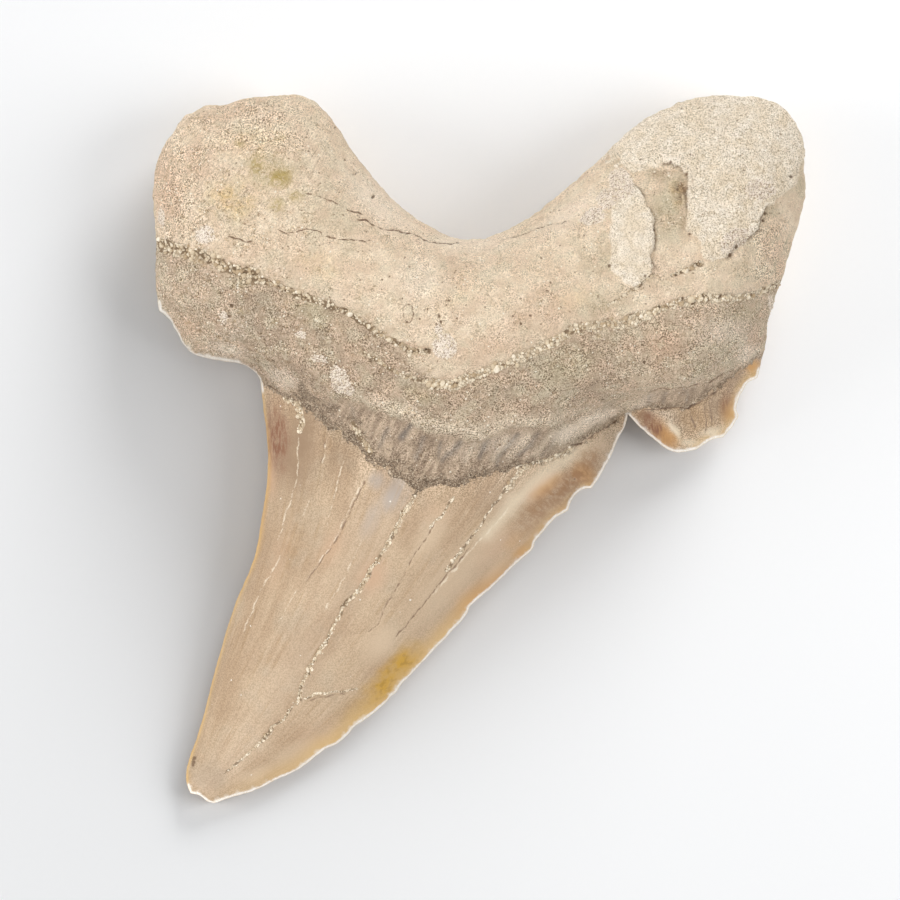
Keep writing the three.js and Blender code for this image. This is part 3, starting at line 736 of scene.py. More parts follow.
# ---- Relief -------------------------------------------------------------------------------
normals = vertex_normals(base, faces)
soft = noise.fractal(base + 5, 5.0, 3)
grainy = noise.fractal(base + 9, 0.9, 4, 0.62)
lumpy = noise.fractal(base + 13, 2.2, 3)
crust_step = smooth(-0.06, 0.22, crust + 0.1 * noise(base + 31, 0.5))
relief = (
    root * (0.13 * soft + 0.075 * lumpy + 0.07 * grainy)
    + enamel * (0.05 * soft + 0.012 * lumpy)
    + crust_step * (0.24 + (0.1 * lumpy + 0.1 * grainy) * smooth(0, 2.5, inward))
    + powder * (0.05 + 0.12 * np.abs(grainy))
    + root * (0.2 * near(bourlette - 0.9, 0.8) - 0.1 * collar)
    + sand_relief + hair_relief + 0.05 * (masks["stripe_light"] - masks["stripe_dark"])
)
# The relief fades out at the rim, where the skins meet, and where the tooth touches down.
relief *= np.where(on_top, smooth(0, 0.2, inward), smooth(0, 1.2, base[:, 2]) * smooth(0, 0.8, inward))
position = base + normals * relief[:, None]
position[:, 2] = np.maximum(position[:, 2], 0)
# The outline's middle goes to the middle of the CAD tooth, and its sole to the tooth's lowest level.
seat = np.append(((tooth_low + tooth_high)[:2] - coarse_rim.min(0) - coarse_rim.max(0)) / 2, tooth_low[2])
position += seat


# ---- Building meshes ----------------------------------------------------------------------
def made_mesh(name, points_mm, faces, attributes, material, faceted=False):
    mesh = bpy.data.meshes.new(name)
    mesh.vertices.add(len(points_mm))
    mesh.vertices.foreach_set("co", (points_mm * MM).astype(np.float32).ravel())
    mesh.loops.add(len(faces) * 3)
    mesh.loops.foreach_set("vertex_index", faces.astype(np.int32).ravel())
    mesh.polygons.add(len(faces))
    mesh.polygons.foreach_set("loop_start", np.arange(len(faces), dtype=np.int32) * 3)
    mesh.polygons.foreach_set("use_smooth", np.full(len(faces), not faceted))
    for attribute, values in attributes.items():
        layer = mesh.attributes.new(attribute, "FLOAT", "POINT")
        layer.data.foreach_set("value", np.asarray(values, np.float32))
    mesh.materials.append(material)
    mesh.update(calc_edges=True)
    mesh.validate()
    made = bpy.data.objects.new(name, mesh)
    bpy.context.scene.collection.objects.link(made)
    return made


# ---- Materials ----------------------------------------------------------------------------
SEAM_CRUMB = 0.29
GRAIN_BUMP = 0.14


class Value:
    """A shader value that varies over the surface; its arithmetic adds nodes."""

    def __init__(self, nodes, socket):
        self.nodes = nodes
        self.socket = socket

    def __add__(self, other):
        return self.nodes.math("ADD", self, other)

    def __sub__(self, other):
        return self.nodes.math("SUBTRACT", self, other)

    def __mul__(self, other):
        return self.nodes.math("MULTIPLY", self, other)

    def ramp(self, low, high, to_low=0.0, to_high=1.0):
        node = self.nodes.add("MapRange", From_Min=low, From_Max=high, To_Min=to_low, To_Max=to_high)
        node.interpolation_type = "SMOOTHSTEP"
        self.nodes.feed(node.inputs["Value"], self)
        return Value(self.nodes, node.outputs["Result"])


class Nodes:
    """One material, with short ways to add shader nodes to it."""

    def __init__(self, name):
        self.material = bpy.data.materials.new(name)
        self.material.use_nodes = True
        self.tree = self.material.node_tree
        self.shader = self.tree.nodes["Principled BSDF"]
        place = self.add("TexCoord").outputs["Object"]
        self.place = self.placed("Mapping", place, Scale=(1 / MM,) * 3).outputs["Vector"]
        self.ragged_place = self.wavered(0.35, 0.3)

    def add(self, kind, **inputs):
        node = self.tree.nodes.new("ShaderNode" + kind)
        for name, value in inputs.items():
            node.inputs[name.replace("_", " ")].default_value = value
        return node

    def placed(self, kind, place, **inputs):
        node = self.add(kind, **inputs)
        self.feed(node.inputs["Vector"], place)
        return node

    def texture(self, place, **inputs):
        return Value(self, self.placed("TexNoise", place, **inputs).outputs["Fac"])

    def feed(self, socket, value):
        """A number, a vector, a colour or another node's output into a socket."""
        value = getattr(value, "socket", value)
        if isinstance(value, bpy.types.NodeSocket):
            self.tree.links.new(value, socket)
        else:
            socket.default_value = (*value, 1) if socket.type == "RGBA" else value

    def mask(self, name):
        node = self.add("Attribute")
        node.attribute_name = name
        return Value(self, node.outputs["Fac"])

    def noise(self, size, detail=3.0, roughness=0.5, swirl=0.0):
        return self.texture(self.place, Scale=1 / size, Detail=detail, Roughness=roughness, Distortion=swirl)

    def streaks(self, angle, across, along, detail=3.0):
        """Noise drawn out in one direction, `across` wide and `along` long."""
        turn = self.placed("Mapping", self.place, Rotation=(0, 0, math.radians(angle)),
                           Scale=(across, along, along))
        turn.vector_type = "TEXTURE"
        return self.texture(turn.outputs["Vector"], Scale=1.0, Detail=detail)

    def grain_lines(self, count, length, detail):
        """Noise drawn out along the crown, with about so many lines across it."""
        run = self.add("CombineXYZ")
        self.feed(run.inputs["X"], self.mask("across") * count)
        self.feed(run.inputs["Y"], self.mask("along") * length)
        return self.texture(run.outputs["Vector"], Scale=1.0, Detail=detail, Roughness=0.55)

    def wavered(self, size, amount):
        """The place on the surface, pushed about so that round cells come out ragged."""
        push = self.placed("TexNoise", self.place, Scale=1 / size, Detail=2.0).outputs["Color"]
        push = self.operation("VectorMath", "SUBTRACT", push, (0.5,) * 3)
        return self.operation("VectorMath", "MULTIPLY_ADD", push, (amount,) * 3, self.place)

    def cells(self, size, feature="F1"):
        node = self.placed("TexVoronoi", self.ragged_place, Scale=1 / size)
        node.feature = feature
        return node

    def chance(self, cells):
        """(one random number for each cell, another)."""
        split = self.add("SeparateColor")
        self.feed(split.inputs["Color"], cells.outputs["Color"])
        return Value(self, split.outputs["Red"]), Value(self, split.outputs["Green"])

    def crumbs(self, size, radius, share):
        """Ragged crumbs in a share of the cells, with a radius given in cells."""
        cells = self.cells(size)
        chosen = self.math("LESS_THAN", self.chance(cells)[0], share)
        return chosen * Value(self, cells.outputs["Distance"]).ramp(radius * 1.3, radius * 0.7)

    def operation(self, kind, operation, *values):
        node = self.add(kind)
        node.operation = operation
        for socket, value in zip(node.inputs, values):
            self.feed(socket, value)
        return node.outputs[0]

    def math(self, operation, *values):
        return Value(self, self.operation("Math", operation, *values))

    def mix(self, factor, a, b, blend="MIX"):
        node = self.add("Mix")
        node.data_type = "RGBA"
        node.blend_type = blend
        sockets = {socket.identifier: socket for socket in node.inputs}
        for name, value in (("Factor_Float", factor), ("A_Color", a), ("B_Color", b)):
            self.feed(sockets[name], value)
        return next(s for s in node.outputs if s.identifier == "Result_Color")

    def stained(self, colour, *stains):
        """The colour with stains laid on it in turn; each is a strength, or a mask's name, and a colour."""
        for strength, stain in stains:
            if isinstance(strength, str):
                strength = self.mask(strength)
            colour = self.mix(strength, colour, stain)
        return colour

    def speckled(self, colour, grain, amount, dark, light, apart=0.0):
        """The colour with brownish specks where a fine noise is low and light ones where it is high."""
        low = grain.ramp(0.34 - apart, 0.48 - apart, 1, 0) * amount
        high = grain.ramp(0.5 + apart, 0.64 + apart) * amount
        colour = self.mix(low, colour, (dark, 0.93 * dark, 0.8 * dark), "MULTIPLY")
        return self.mix(high, colour, (light, 1.02 * light, 1.06 * light), "MULTIPLY")


def collar_colour(n, medium):
    """The strip next to the enamel: brown-grey, with soft uneven stripes and light crumbs."""
    return n.stained(
        n.mix(n.streaks(-27, 0.35, 2.4).ramp(0.36, 0.62), (0.395, 0.29, 0.205), (0.6, 0.46, 0.33)),
        (medium.ramp(0.5, 0.68, 0, 0.6), (0.31, 0.225, 0.155)),
        ("collar_dark", (0.29, 0.205, 0.135)),
        ("stripe_dark", (0.245, 0.205, 0.17)),
        ("stripe_light", (0.76, 0.63, 0.48)),
        (n.crumbs(0.36, 0.24, 0.55) * n.mask("pebbly") * 0.8, (0.8, 0.68, 0.52)))


def root_colour(n, medium, fine, dust):
    """Mottled beige bone with a fine grain, darker and greyer on the band next to the crown."""
    coarse = n.noise(5, 4)
    tint = n.noise(1.4, 1, 0.4)
    window = n.mask("window")
    band = n.stained(
        n.mix(medium.ramp(0.32, 0.68), (0.425, 0.315, 0.22), (0.555, 0.425, 0.3)),
        (coarse.ramp(0.5, 0.35, 0, 0.5), (0.44, 0.375, 0.27)))
    colour = n.stained(
        n.mix(medium.ramp(0.3, 0.7), (0.73, 0.57, 0.405), (0.87, 0.72, 0.54)),
        (coarse.ramp(0.5, 0.7, 0, 0.4), (0.72, 0.55, 0.39)),
        ("band", band),
        ("olive", (0.5, 0.42, 0.275)),
        ("pink", (0.62, 0.415, 0.28)),
        (n.mask("ochre") * medium.ramp(0.35, 0.62), (0.72, 0.52, 0.27)),
        (window * fine.ramp(0.6, 0.4, 0.5, 1), (0.36, 0.245, 0.13)),
        (window * n.noise(0.6, 4, 0.65, 1.0).ramp(0.46, 0.58), (0.22, 0.13, 0.07)),
        (tint.ramp(0.52, 0.7, 0, 0.3), (0.75, 0.55, 0.4)),
        (tint.ramp(0.48, 0.32, 0, 0.35), (0.66, 0.58, 0.42)),
        ("collar", collar_colour(n, medium)),
        # painted highlight on the raised ridge above the collar
        ("painted_ridge_highlight", (0.84, 0.7, 0.53)),
        # pale: paler bone, partly real and partly painted light on slopes and rims the lamps leave in shade
        ("pale", (0.96, 0.83, 0.68)),
        (n.streaks(-35, 0.13, 0.55, 2).ramp(0.42, 0.34, 0, 0.55) * n.mask("wormy"), (0.4, 0.285, 0.185)))

    # Grain: pores and pale flecks in three sizes, then scattered pits and crumbs.
    pitting = n.mask("pitting") * n.noise(1.3, 3).ramp(0.36, 0.62, 0.45, 1.35)
    patches = n.noise(1.1, 3, 0.6).ramp(0.38, 0.6, 0.4, 1.3)
    colour = n.speckled(colour, n.noise(0.45, 3, 0.6), pitting * 0.8, 0.8, 1.12)
    colour = n.speckled(colour, fine, pitting.ramp(0, 1, 0.2, 1), 0.5, 1.25)
    colour = n.speckled(colour, dust, n.mask("grit") * patches, 0.4, 1.42, 0.12)
    dotted = pitting * medium.ramp(0.35, 0.6, 0.1, 0.7)
    pits = n.math("MAXIMUM", n.crumbs(0.42, 0.2, dotted), n.crumbs(0.9, 0.12, dotted))
    crumbs = n.math("MAXIMUM", n.crumbs(0.7, 0.13, pitting * 0.4), n.crumbs(0.38, 0.18, pitting * 0.4))
    return n.stained(colour, (pits * 0.85, (0.3, 0.205, 0.13)), (crumbs * 0.85, (0.97, 0.9, 0.76)))


def enamel_colour(n, medium, dust):
    """Tan enamel: soft blotches, faint streaks along the crown, and stained edges."""
    combed = n.mask("combed")

    def threads(count, length, level):
        """Thin lines where a drawn-out noise passes through a level."""
        away = n.math("ABSOLUTE", n.grain_lines(count, length, 2.0) - level)
        return away.ramp(0.012, 0.002) * combed

    blotch = n.noise(6, 3) * 0.6 + n.grain_lines(13, 3, 5.0) * 0.4
    colour = n.stained(
        n.mix(blotch.ramp(0.38, 0.62), (0.45, 0.315, 0.2), (0.545, 0.405, 0.27)),
        (n.noise(3.5, 4).ramp(0.5, 0.7, 0, 0.5), (0.47, 0.37, 0.26)))
    patches = n.noise(2.2, 3).ramp(0.4, 0.6, 0.1, 0.6)
    colour = n.speckled(colour, n.grain_lines(60, 4, 4.0), patches, 0.86, 1.1)
    colour = n.stained(
        colour, (threads(22, 2, 0.5), (0.72, 0.58, 0.42)), (threads(31, 2.5, 0.47), (0.3, 0.2, 0.125)))
    colour = n.speckled(colour, n.grain_lines(38, 3, 3.0), combed * 1.1, 0.72, 1.18)
    colour = n.speckled(colour, dust, n.mask("enamel_grit"), 0.5, 1.4, 0.12)
    shade = medium.ramp(0.25, 0.6, 0.75, 1.0)
    mustard = n.mask("mustard") * n.noise(1.1, 5, 0.6).ramp(0.34, 0.6, 0.65, 1.0)
    return n.stained(
        colour,
        (n.streaks(-4, 0.16, 1.6).ramp(0.5, 0.36) * n.mask("cusp_lines"), (0.27, 0.19, 0.12)),
        (n.mask("clear") * n.grain_lines(30, 2, 3.0).ramp(0.36, 0.6, 0.35, 1.0), (0.46, 0.395, 0.34)),
        ("peach", (0.6, 0.39, 0.25)),
        ("light_enamel_and_painted_light", (0.66, 0.51, 0.355)),
        # paler enamel, partly real and partly painted light lifting spots the lamps leave in shade
        ("amber", (0.6, 0.33, 0.12)),
        ("gold", (0.72, 0.47, 0.19)),
        ("cream", (0.8, 0.68, 0.5)),
        (n.mask("brown") * shade * n.streaks(-130, 0.3, 1.1).ramp(0.38, 0.6, 0.55, 1.1), (0.33, 0.17, 0.07)),
        (n.mask("dull") * shade, (0.335, 0.225, 0.14)),
        (n.mask("rust") * shade * n.streaks(4, 0.22, 0.9).ramp(0.4, 0.6, 0.65, 1.2), (0.26, 0.12, 0.065)),
        (mustard, (0.57, 0.325, 0.045)),
        (mustard * n.noise(0.5, 3).ramp(0.5, 0.64, 0, 0.45), (0.33, 0.18, 0.03)),
        (n.crumbs(0.9, 0.08, 0.14), (0.86, 0.8, 0.7)),
        (n.crumbs(0.8, 0.07, 0.2) * 0.5, (0.35, 0.25, 0.16)))


def crust_colour(n, medium, fine, dust):
    """Pale cemented sand with fine dark specks."""
    colour = n.mix(medium.ramp(0.35, 0.65), (0.9, 0.765, 0.585), (0.98, 0.87, 0.72))
    colour = n.speckled(colour, fine, n.mask("grit"), 0.66, 1.08)
    colour = n.speckled(colour, dust, n.mask("grit"), 0.5, 1.08, 0.1)
    return n.stained(
        colour,
        (n.crumbs(0.45, 0.13, 0.45) * 0.7, (0.5, 0.35, 0.23)),
        (n.crumbs(1.2, 0.09, 0.4), (0.24, 0.17, 0.11)))


def seam_colour(n):
    """Crumbs of pale sand, each ringed with painted shade, and painted shade in the dark gaps between them.
    """
    cells = n.cells(SEAM_CRUMB)
    first, second = n.chance(cells)
    outline = Value(n, n.cells(SEAM_CRUMB, "DISTANCE_TO_EDGE").outputs["Distance"]).ramp(0.12, 0.03)
    gap = n.math("LESS_THAN", first, n.mask("gaps"))
    return n.stained(
        n.mix(second.ramp(0, 0.8), (0.55, 0.42, 0.275), (0.9, 0.78, 0.6)),
        (n.math("MAXIMUM", gap, outline * 0.75), (0.27, 0.19, 0.115)))


def tooth_material():
    n = Nodes("tooth_mineral")
    medium = n.noise(1.6, 5, 0.62)
    fine = n.noise(0.22, 3, 0.6, 1.6)
    dust = n.noise(0.125, 2, 0.6).ramp(0.3, 0.7)
    uneven = medium - 0.5
    crumbly = (fine - 0.5) * 0.6

    # The border between enamel and root is ragged, with a dark strip of root along it.
    ragged = n.mask("neck") + (n.noise(0.55, 2, 0.5, 0.5) - 0.5) * 1.2 + uneven + crumbly
    is_root = ragged.ramp(-0.06, 0.06)
    strip_depth = n.mask("strip") * n.noise(0.9, 4, 0.6).ramp(0.32, 0.68, 0.1, 1.9) - ragged
    patchy = n.noise(0.9, 3, 0.5).ramp(0.34, 0.54, 0.4, 1.0)
    in_strip = strip_depth.ramp(-0.8, 0.4) * patchy * ragged.ramp(-0.12, 0.0)
    strip_colour = n.stained(
        n.mix(fine.ramp(0.36, 0.62), (0.12, 0.08, 0.05), (0.34, 0.245, 0.165)),
        (dust.ramp(0.66, 0.85, 0, 0.8), (0.66, 0.54, 0.4)))

    crust_edge = n.mask("crust") + uneven * 0.6 + crumbly
    shadow = n.mask("crust_shadow") * medium.ramp(0.4, 0.56, 0.15, 1.0) * crust_edge.ramp(0.12, -0.02)
    dusted = n.mask("powder") + uneven + crumbly * 2.4
    thick = n.mask("powder").ramp(1.0, 1.5, 0, 0.08)
    powder_colour = n.stained(
        n.mix((fine + thick).ramp(0.4, 0.52), (0.66, 0.53, 0.4), (1.0, 0.89, 0.77)),
        ((dust + thick).ramp(0.45, 0.2), (0.4, 0.29, 0.2)))
    sand_edge = n.mask("sand") + uneven * 0.8 + crumbly
    worn = (n.noise(0.5, 3, 0.6) - 0.5) * 1.2 + crumbly
    hair_colour = n.mix(is_root, (0.27, 0.18, 0.115), (0.2, 0.12, 0.07))
    colour = n.stained(
        n.mix(is_root, enamel_colour(n, medium, dust), root_colour(n, medium, fine, dust)),
        (in_strip, strip_colour),
        (crust_edge.ramp(-0.03, 0.1, 0, 0.92), crust_colour(n, medium, fine, dust)),
        (shadow, (0.2, 0.135, 0.08)),
        (dusted.ramp(0.34, 0.5, 0, 0.92) * n.mask("powder").ramp(0.0, 0.2), powder_colour),
        (sand_edge.ramp(0.3, 0.42, 0, 0.3), (0.3, 0.21, 0.135)),
        (sand_edge.ramp(0.45, 0.55), seam_colour(n)),
        ((n.mask("hair_dark") + worn).ramp(0.3, 0.75, 0, 0.95), hair_colour),
        ((n.mask("hair_light") + worn).ramp(0.27, 0.78, 0, 0.8), (0.8, 0.68, 0.52)),
        ((n.mask("pit") + crumbly).ramp(0.45, 0.8, 0, 0.85), (0.17, 0.105, 0.06)),
        (n.mask("green") * n.noise(0.6, 4, 0.65, 1.0).ramp(0.38, 0.54, 0.25, 1.0), (0.43, 0.315, 0.095)),
        # painted highlight: a thin near-white line along the rim's edges, standing in for light catching
        # them
        ("bright_rim", n.mix(fine.ramp(0.38, 0.55), (0.84, 0.74, 0.6), (0.97, 0.93, 0.87))))
    n.feed(n.shader.inputs["Base Color"], colour)
    n.feed(n.shader.inputs["Roughness"], ragged.ramp(-0.06, 0.06, 0.42, 0.88) + uneven * 0.16)
    n.feed(n.shader.inputs["Specular IOR Level"], 0.4)

    bump = n.add("Bump", Distance=GRAIN_BUMP * MM, Strength=1.0)
    n.feed(bump.inputs["Height"], (fine + dust * 0.25) * ragged.ramp(-0.06, 0.06, 0.05, 1.0))
    n.feed(n.shader.inputs["Normal"], bump.outputs["Normal"])
    return n.material


def grain_material():
    n = Nodes("sand_grain")
    tint = n.mask("tint")
    n.feed(n.shader.inputs["Base Color"], n.stained(
        n.mix(tint.ramp(0.0, 0.5), (0.46, 0.34, 0.21), (0.72, 0.6, 0.43)),
        (tint.ramp(0.5, 1.0), (0.88, 0.79, 0.64)),
        (n.noise(0.12, 2).ramp(0.55, 0.75, 0, 0.5), (0.45, 0.33, 0.2))))
    n.feed(n.shader.inputs["Roughness"], tint.ramp(0, 1, 0.75, 0.4))
    return n.material


def paper_material():
    n = Nodes("white_paper")
    colour = n.mix(n.noise(0.5, 3), (0.908, 0.915, 0.924), (0.918, 0.925, 0.934))
    n.feed(n.shader.inputs["Base Color"], colour)
    n.feed(n.shader.inputs["Roughness"], 0.9)
    return n.material


# ---- Masks for the tooth's colours --------------------------------------------------------
# Soft-edged patches that make up each mask: x, y, half width, half height, turn, strength.
PATCHES = dict(
    collar_dark=[(-10.3, 1.3, 3.6, 1.8, -38, 0.14), (-5.6, -1.8, 2.4, 1.2, -20, 0.3)],
    # pale: paler bone, partly real colour and partly painted light lifting shaded slopes and rims
    pale=[
        (-5, 15, 4, 3, 0, 0.4), (-22, 11, 2.6, 1.6, 0, 0.15), (22, 10.6, 4, 2, 0, 0.3),
        (8, 1.5, 2.6, 1, 20, 0.5), (14.5, 4.2, 2.5, 1, 20, 0.35), (2, 0.6, 4, 1, 8, 0.25),
        (-17.6, 6.6, 2.4, 1, -25, 0.4), (-22.6, 9, 2.6, 1.2, -15, 0.45), (24, 8.8, 1.8, 1.5, 20, 0.5),
        (-2, 0, 2, 1, 0, 0.12), (-9, 22.3, 6, 2.4, -42, 0.5), (-1, 19, 6, 2, 0, 0.5),
        (8, 21.2, 6, 1.8, 33, 0.4), (10.6, 2.9, 3, 1, 25, 0.6),
    ],
    olive=[
        (-5, 5, 2.6, 1.4, -10, 0.35), (-14, 20.8, 5, 3, -20, 0.3), (-21.8, 22, 2.6, 2.4, 0, 0.3),
        (16.8, 21.5, 2.4, 4.6, 0, 0.75), (-15, 12.3, 4, 1.8, -30, 0.6), (-21, 15, 3, 1, -15, 0.4),
        (7.8, 7.6, 4.5, 2.2, 25, 0.55), (10.8, 13, 3.4, 2, 10, 0.45), (23.6, 12.3, 3, 1.7, 10, 0.4),
        (10.8, 17, 3.5, 3, 0, 0.35), (23.5, 16.3, 2.5, 1.5, 0, 0.35), (15.8, 10.8, 2, 1.6, 0, 0.35),
        (22.5, 9, 2.4, 1.6, 0, 0.25), (-5.8, 4.8, 1.6, 0.9, -15, 0.5), (25.9, 21.5, 1, 1.2, 0, 0.5),
        (28.9, 24, 0.8, 2.2, 5, 0.6), (13.5, 3.9, 3, 1, 20, 0.3), (19.5, 7.4, 1.4, 0.8, 0, 0.3),
    ],
    window=[(17.9, 23.4, 1, 2, 0, 0.95), (16.2, 24.6, 1.6, 0.7, 0, 0.6), (18, 20.3, 0.5, 1.2, 0, 0.5)],
    ochre=[
        (-22.3, 22.3, 3.6, 3, 20, 1), (-20.5, 27.5, 4.5, 2.2, 0, 0.4), (-14, 16.5, 4, 2, -20, 0.35),
        (-3, 14.5, 4, 3, 0, 0.3), (-5.5, 5, 2, 1, -15, 0.15), (8.5, 13.5, 3, 1.6, 20, 0.3),
        (17.7, 23.2, 1.1, 2, 0, 1),
    ],
    pink=[
        (1, 9.2, 5, 1.5, 15, 0.45), (4.5, 13.5, 1.2, 1.6, 0, 0.3), (-25.4, 26, 2.6, 2.6, 30, 0.5),
        (-28, 23.5, 2.6, 6, 5, 0.6), (-22, 30.5, 6, 2, 10, 0.3), (6.2, 13, 3.6, 3, 30, 0.4),
        (3.5, 11.6, 2, 1.6, 0, 0.45), (16.4, 9.4, 2.6, 2.4, 0, 0.6), (13.3, 9, 2, 2, 0, 0.35),
        (-5.8, 9, 1.9, 0.8, -10, 0.7), (26.6, 18, 1.6, 4.5, 10, 0.35), (-21.8, 16.5, 2.2, 0.8, -15, 0.4),
        (-26.3, 11.3, 2, 1.4, 0, 0.45), (-23, 11.4, 3, 1.4, -15, 0.3), (17.6, 23.2, 0.9, 1.4, 0, 0.6),
        (-1, 6, 4, 1.3, 10, 0.3), (-11, 8.8, 2, 1, -30, 0.4), (-2, 16.5, 2.5, 2, 0, 0.22),
        (24.6, 10, 0.9, 2, -15, 0.4), (-16, 17, 3, 1.5, -20, 0.25),
    ],
    # paler enamel patches, partly real colour and partly painted light on spots the lamps leave in shade
    light_enamel_and_painted_light=[
        (-2.5, -11.5, 2.8, 9, -42, 0.6), (2.5, -4.8, 1.5, 3, -45, 0.4), (-16.5, -27.4, 5, 1.7, 32, 0.5),
        (-20, -29.2, 3, 1.1, 25, 0.55), (10.8, 0.4, 1.3, 0.9, 50, 0.6), (-4.6, -8, 1.8, 4, -35, 0.6),
        (-8.9, -17.3, 2.2, 3.4, -38, 0.7), (1.3, -10.9, 0.9, 2.6, -42, 0.6),
    ],
    peach=[
        (5.6, -3.3, 1.2, 3.2, -50, 1), (-18.9, -1.2, 0.9, 4, 5, 1), (-9.6, -11.3, 1.9, 2.6, -25, 0.75),
        (-13.2, -8.6, 1.4, 3, -25, 0.45), (-4, -6, 2, 2, -30, 0.3), (1.5, -8.5, 1.6, 3.5, -45, 0.5),
        (-14.5, -26, 4, 2.5, 30, 0.3), (-18, -10, 1.5, 4, -15, 0.3),
    ],
    rust=[
        (-18.2, 1.2, 1.6, 4.6, 5, 1), (15.6, 2.3, 1.2, 2.4, 42, 1), (16.9, 0.8, 0.9, 1.8, 50, 0.3),
        (22.3, 4.4, 0.9, 1.7, -20, 0.6),
    ],
    dull=[
        (-16.2, 0.2, 2.9, 7.5, -10, 1), (-15, 1, 3, 4, -30, 0.4), (-12.5, -1, 2.4, 4, -25, 0.5),
        (-11, -11, 2.6, 8, -27, 0.3), (-15.5, -18.5, 2.6, 5, -25, 0.3), (-8, -3, 2, 1.6, -35, 0.3),
        (1, -4.5, 2.4, 3, -40, 0.35), (19, 4.9, 4, 1, 10, 0.9), (21.2, 3.8, 1.8, 2.2, 0, 0.7),
        (19.2, 2.9, 2.2, 1.8, 0, 0.35), (22.8, 6.3, 1.5, 1.2, 30, 0.6), (14.9, 3.1, 1, 0.8, 0, 0.9),
        (-24.2, -29.5, 2.2, 2, 0, 0.35), (-18, -22.5, 2.5, 4, -30, 0.2),
    ],
    pebbly=[
        (-9.8, 1.4, 2.2, 1.4, -35, 0.65), (-14, 4.2, 2.4, 1, -30, 0.5), (-6.4, -1.6, 1, 1, 0, 0.8),
        (1.5, -1, 4, 0.8, 10, 0.6),
    ],
    cusp_lines=[(18.8, 3.2, 3.6, 2.4, 10, 0.7), (23.5, 7.6, 2.2, 2, 30, 0.7)],
    clear=[(-7.6, -4, 1.7, 2.6, -25, 1), (-9.2, -2.7, 1.3, 1.4, -10, 0.7), (-9.6, -6, 1.1, 3, -25, 0.5)],
    green=[
        (-19.9, 25.5, 1.3, 2, 0, 0.65), (-17.8, 24.4, 1.9, 1.5, 15, 0.95), (-18.8, 24.8, 3, 2.8, 0, 0.35),
        (-21.5, 27.4, 0.8, 0.6, 0, 0.5), (-18.2, 21.9, 1.3, 1.1, 0, 0.6), (-16.5, 22.7, 1.2, 0.9, 0, 0.6),
        (-18, 27.9, 0.8, 0.6, 0, 0.45),
    ],
    # painted highlight where the bourlette's ridge slopes away from the lamps
    painted_ridge_highlight=[(9.3, 2.2, 3.6, 1.3, 25, 0.6)],
    amber=[
        (9.5, -2.2, 1.3, 1.9, 40, 0.8), (6, -3.2, 1, 2.6, -50, 0.6), (24.7, 7.5, 1.2, 0.9, 40, 1),
        (16.7, 1.3, 1.4, 2.5, 40, 1), (19.5, 3, 2.4, 2, 0, 0.25), (22.6, 3.6, 1.3, 1.9, -10, 1),
        (3.7, -9.2, 1.4, 0.8, 45, 0.5), (3.1, -8.1, 0.9, 1.9, -42, 0.3),
    ],
    cream=[(17.6, 1.7, 0.45, 1.5, 30, 0.8), (21, 1.7, 1.6, 0.7, 15, 0.7), (19, 0.7, 1.4, 0.5, 5, 0.6)],
)
# A brown streak inside the shoulder, a pale one beside it, and the mustard stain near the tip.
BROWN_LINE = [
    (10, -0.7), (9.5, -1.8), (8.6, -2.7), (7.2, -3.8), (5.6, -5.1), (4, -6.6), (2.5, -8.2), (0.6, -10.3),
]
CREAM_LINE = [(9.6, 0.2), (7, -1.2), (4.6, -3.1), (3.1, -4.7), (0.6, -7.6)]
MUSTARD_LINE = [(-5.9, -18), (-7.4, -19.7), (-8.7, -21.2), (-10.1, -22.8), (-12.5, -24.8)]
# Stretches of the rim that get a painted highlight along their edge.
RIM_HIGHLIGHT_EDGES = [
    LARGE_CHIP, SMALL_CHIP, DISTAL_EDGE, CUSPLET_OUTER, CUSPLET_TIP, CUSPLET_INNER, MESIAL_SHOULDER,
    SHOULDER, TIP,
]

for name, patches in PATCHES.items():
    lay(name, zones(patches))
x, y = plan.T
left, right = (np.abs(side_distance(guide, plan)) for guide in (mesial_guide, distal_guide))
band_height = above(BAND_TOP, broken)
on_band = smooth(0.7, -0.9, band_height)
brown_away, _, brown_along = line_distance(BROWN_LINE, broken)
mustard_away, _, mustard_along = line_distance(MUSTARD_LINE, broken)
mesial_stain = 0.75 * along_edges([MESIAL_EDGE], 0.6) * smooth(4, 1.5, y) * smooth(-14, -4, y)
distal_stain = 0.95 * along_edges([DISTAL_EDGE, SMALL_CHIP], 1.9) * smooth(-17.5, -14, y)
distal_stain *= mix(1, 0.55, smooth(-12.5, -9.5, y))
distal_gold = 0.85 * along_edges([DISTAL_EDGE], 2) * smooth(-12, -17, y) * smooth(-26, -12, x)
rim_reach = 0.3 + 0.12 * noise(base + 61, 1.2) + 0.12 * noise(base + 67, 0.4)
# painted highlight along the ridge just above the collar
lay("painted_ridge_highlight", 0.6 * near(bourlette - 0.7, 0.55) * smooth(-14, -6, x) * smooth(14, 4, x))
lay("cream", 0.6 * near(line_distance(CREAM_LINE, broken)[0], 0.7))
